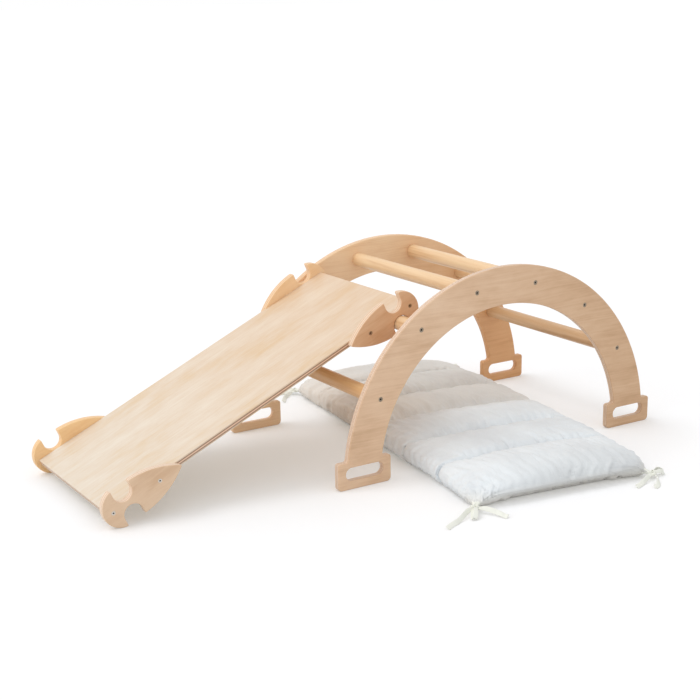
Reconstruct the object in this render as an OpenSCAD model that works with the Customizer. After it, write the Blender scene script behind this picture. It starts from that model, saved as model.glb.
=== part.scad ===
// A wooden climbing and rocking arch with a hook-on ramp and a quilted floor mat.
// Millimetres, +X along the arch away from the ramp, +Y away from the viewer, +Z up.
// Every piece is drawn with the arch's middle on the floor at the origin, and place()
// then moves the whole set so that the origin is the middle of its footprint.

/* [Arch] */
// Length of the arch over its feet
arch_length = 1000; // [990:2:1010]
// Width of the arch over its two side panels
arch_width = 560; // [540:5:640]
// Outer radius of the bent band of a side panel
band_outer_radius = 476.5; // [474:0.5:480]
// Inner radius of the bent band of a side panel
band_inner_radius = 379; // [376:0.5:382]
// Height of the band's centre over the floor
band_centre_height = 12; // [10:0.5:14]
// Thickness of the plywood of side panels and hook plates
panel_thickness = 18; // [17:0.5:19]

/* [Feet] */
// Length of one foot along the floor
foot_length = 150; // [146:1:154]
// Height of one foot
foot_height = 68; // [66:1:72]
// Corner radius at the bottom of a foot
foot_bottom_radius = 11; // [8:1:12]
// Corner radius at the top of a foot
foot_top_radius = 7; // [5:1:8]
// Radius of the fillet where the band meets the top of a foot
foot_fillet_radius = 7; // [5:1:9]
// Length of the hand slot in a foot
slot_length = 106; // [100:1:108]
// Height of the hand slot
slot_height = 32; // [30:1:34]
// Height of the middle of the hand slot over the floor
slot_centre_height = 38; // [36:1:39]

/* [Rungs] */
// Diameter of a round rung
rung_diameter = 37.5; // [35:0.5:38]
// Radius of the circle that the six rungs follow
rung_circle_radius = 428; // [426:1:430]
// Angle of the lowest rung over the level line through the band's centre, in degrees
lowest_rung_angle = 28; // [27:0.5:29]

/* [Bolts] */
// Diameter of the bolt's shank
bolt_diameter = 6; // [5:0.5:6]
// Length of the bolt over its flush head
bolt_length = 45; // [40:1:46]
// Diameter of the bolt's flush head
bolt_head_diameter = 12; // [11:0.5:12]
// Outside diameter of the threaded insert in the rung's end
insert_diameter = 10; // [9:0.5:11]
// Length of the threaded insert
insert_length = 13; // [12:1:20]

/* [Ramp board] */
// Length of the ramp board
board_length = 904; // [890:1:910]
// Width of the ramp board between the hook plates
board_width = 419; // [380:1:420]
// Thickness of the ramp board
board_thickness = 15; // [15:0.5:16]
// Gap between the ramp's far hook plates and the far side panel
ramp_far_gap = 2; // [1:0.5:20]

/* [Hook plates] */
// Distance between the hook notches of the two ends of the ramp
notch_spacing = 800; // [796:1:804]
// Radius of a notch's round bottom
notch_radius = 23.5; // [23:0.25:24]
// Distance from a plate's nose screw to its notches
screw_to_notch = 40; // [40:1:42]
// Distance from a plate's nose screw to its other screw
screw_spacing = 127; // [110:1:135]
// Radius of a plate's round nose
nose_radius = 50; // [49:0.5:51]
// Length that the nose stands past its screw
nose_reach = 24; // [23:1:25]
// Radius of the two arcs that form a plate's pointed body
body_arc_radius = 202; // [200:1:204]
// Height of a plate's pointed body where it is widest
body_height = 93; // [92:1:94]
// Distance from a plate's nose screw to the widest place of its body
screw_to_widest = 60; // [58:1:62]
// Radius that rounds the lips of a notch
lip_radius = 3; // [2:0.5:3]

/* [Mat] */
// Length of the quilted mat
mat_length = 1076; // [1000:4:1120]
// Width of the quilted mat
mat_width = 504; // [460:4:510]
// Height of the mat at the crown of a channel
mat_height = 80; // [60:1:84]
// Number of stuffed channels across the mat
channel_count = 6; // [4:1:7]
// Angle that the mat is turned on the floor, in degrees
mat_turn = 7.3; // [0:0.1:8]

/* [Ties] */
// Width of a tie tape
tape_width = 12; // [10:1:12]
// Thickness of a tie tape as it lies
tape_thickness = 3; // [2:0.5:3]
// Radius of the knot that a tie is tied in
knot_radius = 11; // [10:0.5:12]

/* [Hidden] */
$fn = 96;

NEAR = -1;
FAR = 1;
LOWER = -1;
UPPER = 1;
cut = 1; // how far a cutter reaches past the face that it opens

// Arch
rung_count = 6;
rung_pitch_angle = (180 - 2 * lowest_rung_angle) / (rung_count - 1);
rung_length = arch_width - 2 * panel_thickness;
inner_face = rung_length / 2;
outer_face = arch_width / 2;
ramp_rung = 2;
// How far each rung stands above the circle that they follow, as the picture shows them
rung_rises = [-3, 10, 2, 5, 2, 9];
function rung_angle(number) = 180 - lowest_rung_angle - (number - 1) * rung_pitch_angle;
function rung_x(number) = rung_circle_radius * cos(rung_angle(number));
function rung_z(number) = band_centre_height + rung_circle_radius * sin(rung_angle(number))
    + rung_rises[number - 1];

// Rung bolts: clearances are on the radius
bolt_clearance = 0.1;
bolt_head_rim = 0.6;
bolt_sink = 0.3;
socket_radius = 2.6;
socket_depth = 2.4;
insert_clearance = 0.05;
insert_sink = 0.5;
rung_bore_depth = bolt_length - panel_thickness + 3;

// Hook plate screws
screw_radius = 2.5;
screw_head_radius = 5;
screw_length = 50;
screw_socket_radius = 2.1;

// Ramp: seat_drop is how far the seated rung's axis lies under the board's mid-plane
seat_gap = 0.3;
seat_drop = board_thickness / 2 + rung_diameter / 2 + seat_gap;
notch_half_spacing = notch_spacing / 2;
ramp_side_shift = inner_face - ramp_far_gap - panel_thickness - board_width / 2;
nose_screw_place = notch_half_spacing + screw_to_notch;
nose_centre = nose_radius - nose_reach;
nose_centre_place = nose_screw_place - nose_centre;
// The ramp turns about the seated rung until its lower noses rest on the floor
ramp_reach = notch_half_spacing + nose_centre_place;
ramp_angle = asin((rung_z(ramp_rung) - nose_radius) / norm([ramp_reach, seat_drop]))
    + atan(seat_drop / ramp_reach);
ramp_tail_x = rung_x(ramp_rung) - ramp_reach * cos(ramp_angle)
    - seat_drop * sin(ramp_angle) - nose_radius;
notch_offset = board_thickness / 2 + notch_radius;
body_arc_drop = body_arc_radius - body_height / 2;

// Mat: the seam where its two faces meet runs over the floor, and dips at the corners
mat_centre = [2, -66];
mat_seam_height = 25;
mat_corner_dip = 11;
mat_seam_pinch = 12;
mat_corner_draw = 14;
mat_valley = 0.58; // height of a sewn seam as a part of the crown's height
mat_edge_turn = 45; // width of the edge over which the underside turns up
channel_steps = [0, 0.1, 0.3, 0.5, 0.7, 0.9];
mat_columns = [
    for (channel = [0 : channel_count - 1], step = channel_steps)
        2 * (channel + step) / channel_count - 1,
    1
];
mat_rows = [-1, -0.95, -0.84, -0.66, -0.42, -0.15, 0.15, 0.42, 0.66, 0.84, 0.95, 1];
column_count = len(mat_columns);
row_count = len(mat_rows);

function channel_wave(u) = pow(abs(sin(90 * channel_count * (u + 1))), 0.7);
function closing(t, power) = sqrt(max(0, 1 - pow(abs(t), power)));
function mat_seam(u, v) = mat_seam_height - mat_corner_dip * pow(abs(u * v), 6);
function mat_crown(u, v) = (mat_height - mat_seam(u, v)) * closing(v, 4)
    * (mat_valley * closing(u, 14) + (1 - mat_valley) * channel_wave(u));
function mat_lift(t, half) = pow(max(0, 1 - (1 - abs(t)) * half / mat_edge_turn), 2);
function mat_underside(u, v) = mat_seam(u, v)
    * max(mat_lift(u, mat_length / 2), mat_lift(v, mat_width / 2));
function mat_along(u, v) = u * (mat_length / 2 - mat_corner_draw * pow(abs(v), 6));
function mat_across(u, v) = v * (mat_width / 2 - mat_seam_pinch * (1 - channel_wave(u)));
function turned(along, across) = [
    mat_centre[0] + along * sin(mat_turn) + across * cos(mat_turn),
    mat_centre[1] + along * cos(mat_turn) - across * sin(mat_turn)
];
function mat_point(u, v, z) = let (flat = turned(mat_along(u, v), mat_across(u, v)))
    [flat[0], flat[1], z];
function on_rim(i, j) = i == 0 || i == column_count - 1 || j == 0 || j == row_count - 1;
mat_top = [
    for (u = mat_columns, v = mat_rows)
        mat_point(u, v, mat_seam(u, v) + mat_crown(u, v))
];
mat_bottom = [for (u = mat_columns, v = mat_rows) mat_point(u, v, mat_underside(u, v))];
top_count = len(mat_top);
function top_index(i, j) = i * row_count + j;
function bottom_index(i, j) = on_rim(i, j) ? top_index(i, j) : top_count + top_index(i, j);
// Two triangles of a cell, cut so that no corner of the mat is one triangle on both faces
function cell_faces(a, b, c, d, towards_corner) = towards_corner
    ? [[a, b, c], [a, c, d]]
    : [[a, b, d], [b, c, d]];
function corner_cell(i, j) = (2 * i < column_count - 1) == (2 * j < row_count - 1);
mat_top_faces = [
    for (i = [0 : column_count - 2], j = [0 : row_count - 2]) each cell_faces(
        top_index(i, j), top_index(i + 1, j), top_index(i + 1, j + 1), top_index(i, j + 1),
        corner_cell(i, j)
    )
];
mat_bottom_faces = [
    for (i = [0 : column_count - 2], j = [0 : row_count - 2]) each cell_faces(
        bottom_index(i, j), bottom_index(i, j + 1), bottom_index(i + 1, j + 1),
        bottom_index(i + 1, j), corner_cell(i, j)
    )
];

// Ties: a knot just off each corner of the mat, its bow's loop, and two tails on the floor.
// The routes are measured from the middle of the knot, and their heights from the floor.
LEFT = -1;
RIGHT = 1;
tie_gap = 7; // from the mat's corner to the knot's middle, both ways
knot_height = 12;
loop_height = 8.5;
corner_along = mat_length / 2 - mat_corner_draw + tie_gap;
corner_across = mat_width / 2 - mat_seam_pinch + tie_gap;
function knot_place(depth_side, across_side) =
    turned(depth_side * corner_along, across_side * corner_across);
near_left_long_route = [
    [-8, -4, 12], [-24, -12, 7], [-48, -24, 2], [-74, -34, 1.8], [-98, -40, 1.8], [-116, -50, 1.8]
];
near_left_short_route = [
    [4, -9, 12], [12, -24, 7], [20, -42, 2], [30, -58, 1.8], [44, -72, 1.8]
];
near_right_long_route = [
    [-8, -5, 12], [-24, -12, 7], [-44, -18, 2], [-64, -22, 1.8], [-84, -30, 1.8]
];
near_right_short_route = [
    [-4, -9, 12], [-12, -24, 7], [-22, -38, 2], [-36, -50, 1.8], [-54, -58, 1.8]
];
far_left_long_route = [
    [-9, -3, 12], [-26, -12, 7], [-44, -26, 2], [-58, -42, 1.8], [-70, -60, 1.8]
];
far_left_short_route = [
    [-9, 4, 12], [-24, 12, 7], [-42, 16, 2], [-62, 14, 1.8], [-80, 8, 1.8]
];
far_right_long_route = [
    [8, 5, 12], [24, 14, 7], [44, 24, 2], [66, 30, 1.8], [88, 34, 1.8]
];
far_right_short_route = [
    [4, 9, 12], [12, 24, 7], [18, 42, 2], [22, 60, 1.8], [28, 78, 1.8]
];
// A bow's loop leaves the knot, swings out to loop_reach and comes back
loop_reach = 52;
loop_half_width = 11;
loop_outline = [
    [4, 1], [20, 7], [36, loop_half_width], [48, 6], [loop_reach, 0],
    [48, -6], [36, -loop_half_width], [20, -7], [4, -1]
];

// A tape swept along a route: rings of 8 points, with its width level or upright
tape_sides = 8;
function along_route(route, i) = let (
    before = route[max(0, i - 1)],
    after = route[min(len(route) - 1, i + 1)]
) (after - before) / norm(after - before);
function level_across(tangent) = let (side = [-tangent[1], tangent[0], 0]) side / norm(side);
function tape_ring(place, tangent, upright) = let (
    level = level_across(tangent),
    rise = cross(tangent, level),
    wide = upright ? rise : level,
    thin = upright ? level : rise
) [
    for (k = [0 : tape_sides - 1]) let (angle = 360 * (k + 0.5) / tape_sides)
        place + wide * cos(angle) * tape_width / 2 + thin * sin(angle) * tape_thickness / 2
];

// The middle of the footprint, without the ties
mat_y = [for (p = mat_top) p[1]];
footprint_middle = [(ramp_tail_x + arch_length / 2) / 2, (min(mat_y) + max(mat_y)) / 2];

birch = [0.86, 0.72, 0.56];
birch_light = [0.93, 0.82, 0.68];
beech = [0.90, 0.76, 0.58];
steel = [0.62, 0.62, 0.62];
zinc = [0.72, 0.72, 0.68];
cotton = [0.88, 0.88, 0.86];

module place() {
    translate([-footprint_middle[0], -footprint_middle[1], 0])
        children();
}

// Stands a flat outline up along the arch, with its near face at y
module upright(y, thickness) {
    translate([0, y + thickness, 0])
        rotate([90, 0, 0])
            linear_extrude(thickness)
                children();
}

// What rounding takes off a square corner that lies at the origin and points to -X, -Y
module corner_waste(radius) {
    difference() {
        translate([-cut, -cut])
            square(radius + cut);
        translate([radius, radius])
            circle(radius);
    }
}

module stadium(length, height) {
    reach = (length - height) / 2;
    square([2 * reach, height], center = true);
    for (end = [-reach, reach])
        translate([end, 0])
            circle(height / 2);
}

// ---------- Side panels ----------

// The foot at the right end of a panel; the left one is its mirror image
module foot_outline() {
    inner_end = arch_length / 2 - foot_length;
    difference() {
        translate([inner_end, 0])
            square([foot_length, foot_height]);
        translate([inner_end, 0])
            corner_waste(foot_bottom_radius);
        translate([arch_length / 2, 0])
            mirror([1, 0])
                corner_waste(foot_bottom_radius);
        translate([inner_end, foot_height])
            mirror([0, 1])
                corner_waste(foot_top_radius);
        translate([arch_length / 2, foot_height])
            mirror([1, 0])
                mirror([0, 1])
                    corner_waste(foot_top_radius);
    }
}

// The two fillets between the band and the top of the right foot
module foot_fillets() {
    rise = foot_height - band_centre_height;
    overlap = 4;
    outer_x = sqrt(pow(band_outer_radius, 2) - rise * rise);
    inner_x = sqrt(pow(band_inner_radius, 2) - rise * rise);
    difference() {
        translate([outer_x - overlap, foot_height - overlap])
            square([foot_fillet_radius + overlap - 1, foot_fillet_radius + overlap]);
        translate([outer_x + foot_fillet_radius - 1, foot_height + foot_fillet_radius])
            circle(foot_fillet_radius);
    }
    difference() {
        translate([inner_x - foot_fillet_radius, foot_height - overlap])
            square([foot_fillet_radius + overlap, foot_fillet_radius + overlap]);
        translate([inner_x - foot_fillet_radius, foot_height + foot_fillet_radius])
            circle(foot_fillet_radius);
    }
}

module band_outline() {
    difference() {
        translate([0, band_centre_height])
            circle(band_outer_radius, $fn = 360);
        translate([0, band_centre_height])
            circle(band_inner_radius, $fn = 360);
        translate([-arch_length, -arch_length])
            square([2 * arch_length, arch_length + foot_height / 2]);
    }
}

module side_panel_outline() {
    difference() {
        union() {
            band_outline();
            for (end = [0, 1])
                mirror([end, 0]) {
                    foot_outline();
                    foot_fillets();
                }
        }
        for (end = [0, 1])
            mirror([end, 0])
                translate([(arch_length - foot_length) / 2, slot_centre_height])
                    stadium(slot_length, slot_height);
    }
}

// side is NEAR or FAR
module side_panel(side) {
    color(birch)
        difference() {
            upright(side * (inner_face + panel_thickness / 2) - panel_thickness / 2, panel_thickness)
                side_panel_outline();
            for (number = [1 : rung_count])
                at_rung(number)
                    facing(side)
                        translate([0, 0, outer_face])
                            bolt_hole();
        }
}

module at_rung(number) {
    translate([rung_x(number), 0, rung_z(number)])
        children();
}

// Turns what points up so that it points out of the near or the far side
module facing(side) {
    rotate([-90 * side, 0, 0])
        children();
}

// ---------- Rungs, bolts and inserts ----------

module rung(number) {
    color(beech)
        at_rung(number)
            difference() {
                facing(FAR)
                    cylinder(h = rung_length, d = rung_diameter, center = true);
                for (side = [NEAR, FAR])
                    facing(side)
                        translate([0, 0, inner_face - rung_bore_depth])
                            cylinder(h = rung_bore_depth + cut, r = insert_diameter / 2 + insert_clearance);
            }
}

// Half section of a screw or bolt with a flush, 90 degree countersunk head, its face at z = 0
module countersunk_section(head_radius, shank_radius, length, rim) {
    polygon([
        [0, 0], [head_radius, 0], [head_radius, -rim],
        [shank_radius, -rim - (head_radius - shank_radius)],
        [shank_radius, -length], [0, -length]
    ]);
}

module bolt_hole() {
    rotate_extrude()
        countersunk_section(
            bolt_head_diameter / 2 + bolt_clearance, bolt_diameter / 2 + bolt_clearance,
            panel_thickness + cut, bolt_head_rim + bolt_sink
        );
    cylinder(h = cut, r = bolt_head_diameter / 2 + bolt_clearance);
}

module bolt() {
    translate([0, 0, -bolt_sink])
        difference() {
            rotate_extrude()
                countersunk_section(
                    bolt_head_diameter / 2, bolt_diameter / 2, bolt_length, bolt_head_rim
                );
            translate([0, 0, -socket_depth])
                cylinder(h = socket_depth + cut, r = socket_radius, $fn = 6);
        }
}

module rung_bolts(side) {
    color(steel)
        for (number = [1 : rung_count])
            at_rung(number)
                facing(side)
                    translate([0, 0, outer_face])
                        bolt();
}

module rung_inserts(side) {
    color(zinc)
        for (number = [1 : rung_count])
            at_rung(number)
                facing(side)
                    translate([0, 0, inner_face - insert_sink - insert_length])
                        difference() {
                            cylinder(h = insert_length, d = insert_diameter);
                            translate([0, 0, -cut])
                                cylinder(
                                    h = insert_length + 2 * cut,
                                    r = bolt_diameter / 2 + insert_clearance
                                );
                        }
}

// ---------- Ramp ----------

// The ramp's own frame: +X up the ramp from the middle of the board, +Z square to it
module on_ramp() {
    translate([rung_x(ramp_rung), ramp_side_shift, rung_z(ramp_rung)])
        rotate([0, -ramp_angle, 0])
            translate([-notch_half_spacing, 0, seat_drop])
                children();
}

module ramp_board() {
    color(birch_light)
        on_ramp()
            difference() {
                cube([board_length, board_width, board_thickness], center = true);
                for (side = [NEAR, FAR], end = [LOWER, UPPER])
                    plate_screw_places(side, end)
                        translate([0, 0, -screw_length - cut])
                            cylinder(h = screw_length + 2 * cut, r = screw_radius + insert_clearance);
            }
}

// The two screw heads of one plate, with their faces at z = 0 in the plate's outer face
module plate_screw_places(side, end) {
    for (inward = [0, screw_spacing])
        translate([end * (nose_screw_place - inward), 0, 0])
            facing(side)
                translate([0, 0, board_width / 2 + panel_thickness])
                    children();
}

// Lower plate, drawn from its nose screw, with the pointed body towards +X
module hook_plate_outline() {
    lip_nose_x = screw_to_notch - notch_radius - lip_radius;
    lip_nose_y = sqrt(pow(nose_radius - lip_radius, 2) - pow(lip_nose_x - nose_centre, 2));
    lip_body_x = screw_to_notch + notch_radius + lip_radius;
    lip_body_y = sqrt(pow(body_arc_radius - lip_radius, 2) - pow(lip_body_x - screw_to_widest, 2))
        - body_arc_drop;
    difference() {
        union() {
            intersection() {
                translate([nose_centre, 0])
                    circle(nose_radius);
                translate([nose_centre - nose_radius, -nose_radius])
                    square([screw_to_notch - nose_centre + nose_radius, 2 * nose_radius]);
            }
            intersection() {
                translate([screw_to_widest, -body_arc_drop])
                    circle(body_arc_radius, $fn = 240);
                translate([screw_to_widest, body_arc_drop])
                    circle(body_arc_radius, $fn = 240);
                translate([screw_to_notch, -body_height])
                    square([2 * body_height, 2 * body_height]);
            }
        }
        for (face = [0, 1])
            mirror([0, face]) {
                translate([screw_to_notch, notch_offset]) {
                    circle(notch_radius);
                    translate([-notch_radius, 0])
                        square([2 * notch_radius, body_height]);
                }
                lip_waste(lip_nose_x, lip_nose_y, 1);
                lip_waste(lip_body_x, lip_body_y, -1);
            }
    }
}

// What rounding takes off a notch's lip, whose rounding is centred on x, y
module lip_waste(x, y, towards_notch) {
    difference() {
        translate([x, y])
            mirror([towards_notch < 0 ? 1 : 0, 0])
                square([lip_radius + cut, 2 * lip_radius]);
        translate([x, y])
            circle(lip_radius);
    }
}

module hook_plate(side, end) {
    color(birch)
        on_ramp()
            difference() {
                upright(
                    side * (board_width + panel_thickness) / 2 - panel_thickness / 2, panel_thickness
                )
                    mirror([end == UPPER ? 1 : 0, 0])
                        translate([-nose_screw_place, 0])
                            hook_plate_outline();
                plate_screw_places(side, end) {
                    rotate_extrude()
                        countersunk_section(
                            screw_head_radius + bolt_clearance, screw_radius + bolt_clearance,
                            panel_thickness + cut, bolt_head_rim + bolt_sink
                        );
                    cylinder(h = cut, r = screw_head_radius + bolt_clearance);
                }
            }
}

module plate_screws(side, end) {
    color(steel)
        on_ramp()
            plate_screw_places(side, end)
                translate([0, 0, -bolt_sink])
                    difference() {
                        rotate_extrude()
                            countersunk_section(
                                screw_head_radius, screw_radius, screw_length, bolt_head_rim
                            );
                        translate([0, 0, -socket_depth])
                            cylinder(h = socket_depth + cut, r = screw_socket_radius, $fn = 6);
                    }
}

// ---------- Mat and its ties ----------

module mat_cushion() {
    color(cotton)
        polyhedron(points = concat(mat_top, mat_bottom), faces = concat(mat_top_faces, mat_bottom_faces));
}

module tape(route, upright = false) {
    last = len(route) - 1;
    points = [
        for (i = [0 : last]) each tape_ring(route[i], along_route(route, i), upright)
    ];
    sides = [
        for (i = [0 : last - 1], k = [0 : tape_sides - 1]) let (
            a = i * tape_sides + k,
            b = i * tape_sides + (k + 1) % tape_sides
        ) each [[a, b, b + tape_sides], [a, b + tape_sides, a + tape_sides]]
    ];
    start_cap = [for (k = [1 : tape_sides - 2]) [0, k + 1, k]];
    first = last * tape_sides;
    end_cap = [for (k = [1 : tape_sides - 2]) [first, first + k, first + k + 1]];
    polyhedron(points = points, faces = concat(sides, start_cap, end_cap));
}

module tie_knot(depth_side, across_side, loop_angle) {
    middle = knot_place(depth_side, across_side);
    color(cotton)
        translate([middle[0], middle[1], 0]) {
            translate([0, 0, knot_height])
                sphere(knot_radius, $fn = 12);
            rotate([0, 0, loop_angle])
                tape([for (p = loop_outline) [p[0], p[1], loop_height]], upright = true);
        }
}

module tie_tail(depth_side, across_side, route) {
    middle = knot_place(depth_side, across_side);
    color(cotton)
        translate([middle[0], middle[1], 0])
            tape(route);
}

// Directions of the bow loops on the floor, in degrees from +X
near_left_loop = 228;
near_right_loop = 22;
far_left_loop = 120;
far_right_loop = 320;

place() side_panel(NEAR);  // near_side_panel
place() side_panel(FAR);  // far_side_panel
place() rung(1);  // rung_1
place() rung(2);  // rung_2
place() rung(3);  // rung_3
place() rung(4);  // rung_4
place() rung(5);  // rung_5
place() rung(6);  // rung_6
place() rung_bolts(NEAR);  // near_rung_bolts
place() rung_bolts(FAR);  // far_rung_bolts
place() rung_inserts(NEAR);  // near_rung_inserts
place() rung_inserts(FAR);  // far_rung_inserts
place() ramp_board();
place() hook_plate(NEAR, LOWER);  // near_lower_hook_plate
place() hook_plate(NEAR, UPPER);  // near_upper_hook_plate
place() hook_plate(FAR, LOWER);  // far_lower_hook_plate
place() hook_plate(FAR, UPPER);  // far_upper_hook_plate
place() plate_screws(NEAR, LOWER);  // near_lower_plate_screws
place() plate_screws(NEAR, UPPER);  // near_upper_plate_screws
place() plate_screws(FAR, LOWER);  // far_lower_plate_screws
place() plate_screws(FAR, UPPER);  // far_upper_plate_screws
place() mat_cushion();
place() tie_knot(NEAR, LEFT, near_left_loop);  // near_left_tie_knot
place() tie_knot(NEAR, RIGHT, near_right_loop);  // near_right_tie_knot
place() tie_knot(FAR, LEFT, far_left_loop);  // far_left_tie_knot
place() tie_knot(FAR, RIGHT, far_right_loop);  // far_right_tie_knot
place() tie_tail(NEAR, LEFT, near_left_long_route);  // near_left_tie_long_tail
place() tie_tail(NEAR, LEFT, near_left_short_route);  // near_left_tie_short_tail
place() tie_tail(NEAR, RIGHT, near_right_long_route);  // near_right_tie_long_tail
place() tie_tail(NEAR, RIGHT, near_right_short_route);  // near_right_tie_short_tail
place() tie_tail(FAR, LEFT, far_left_long_route);  // far_left_tie_long_tail
place() tie_tail(FAR, LEFT, far_left_short_route);  // far_left_tie_short_tail
place() tie_tail(FAR, RIGHT, far_right_long_route);  // far_right_tie_long_tail
place() tie_tail(FAR, RIGHT, far_right_short_route);  // far_right_tie_short_tail
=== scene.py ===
"""A wooden climbing and rocking arch with a hook-on ramp and a quilted floor mat.

Every length is in metres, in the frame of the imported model: +X along the arch away from
the ramp, +Y away from the viewer, +Z up, with the floor at zero.
"""

import logging
import math
from collections.abc import Sequence
from dataclasses import dataclass, field
from enum import Enum

import bpy
import numpy as np
from mathutils import Matrix, Vector
from mathutils.geometry import tessellate_polygon


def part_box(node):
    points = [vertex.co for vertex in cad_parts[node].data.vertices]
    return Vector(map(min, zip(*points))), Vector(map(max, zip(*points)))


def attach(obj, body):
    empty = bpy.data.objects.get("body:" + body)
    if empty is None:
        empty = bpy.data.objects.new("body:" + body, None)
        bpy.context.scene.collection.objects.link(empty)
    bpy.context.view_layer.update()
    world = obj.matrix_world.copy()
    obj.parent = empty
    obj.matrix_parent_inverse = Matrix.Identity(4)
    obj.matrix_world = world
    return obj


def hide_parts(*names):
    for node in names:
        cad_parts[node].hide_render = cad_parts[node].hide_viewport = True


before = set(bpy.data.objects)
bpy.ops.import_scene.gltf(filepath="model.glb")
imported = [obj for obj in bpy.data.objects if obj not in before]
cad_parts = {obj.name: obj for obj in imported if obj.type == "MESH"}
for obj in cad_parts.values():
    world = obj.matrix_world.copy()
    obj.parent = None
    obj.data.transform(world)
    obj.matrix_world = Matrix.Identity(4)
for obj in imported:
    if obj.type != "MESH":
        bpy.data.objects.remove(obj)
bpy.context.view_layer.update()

logger = logging.getLogger("arch_set")

Colour = tuple[float, float, float]
Point = tuple[float, float, float]
Span = tuple[float, float]
Array = np.ndarray
Object = bpy.types.Object
Material = bpy.types.Material
Socket = bpy.types.NodeSocket

MM = 0.001
WHITE = (1.0, 1.0, 1.0)
RIGHT_WAY = np.array([1.0, 0.0, 0.0])
UP_WAY = np.array([0.0, 0.0, 1.0])
VIEW_WAY = np.array([0.53, 0.85, 0.0])  # level, from the picture's viewpoint to the arch
PATTERN = "pattern_place"  # the attribute in which a surface carries the place of its pattern


class Named(Enum):
    """A choice whose name is part of the names of nodes."""

    @property
    def word(self) -> str:
        """The choice as it stands in those names."""
        return self.name.lower()


class Side(Named):
    """The side of the object: the viewer's or the far one."""

    NEAR = -1
    FAR = 1

    @property
    def out(self) -> Array:
        """The way out of the object on this side."""
        return np.array([0.0, float(self.value), 0.0])


class End(Named):
    """The end of the ramp."""

    LOWER = -1
    UPPER = 1


class Hand(Named):
    """The long edge of the mat, seen by the viewer."""

    LEFT = -1
    RIGHT = 1


class Body(Enum):
    """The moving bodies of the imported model."""

    ARCH = "arch"
    RAMP = "ramp"
    MAT = "mat"


class Slot(Enum):
    """The record's material slots."""

    PANEL = "panel_plywood"
    PLATE = "plate_plywood"
    BOARD = "board_plywood"
    RUNG = "rung_beech"
    STEEL = "bolt_steel"
    ZINC = "insert_zinc"
    MAT = "mat_cotton"
    TIE = "tie_cotton"


# ---------- Node trees and finishes ----------


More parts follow.
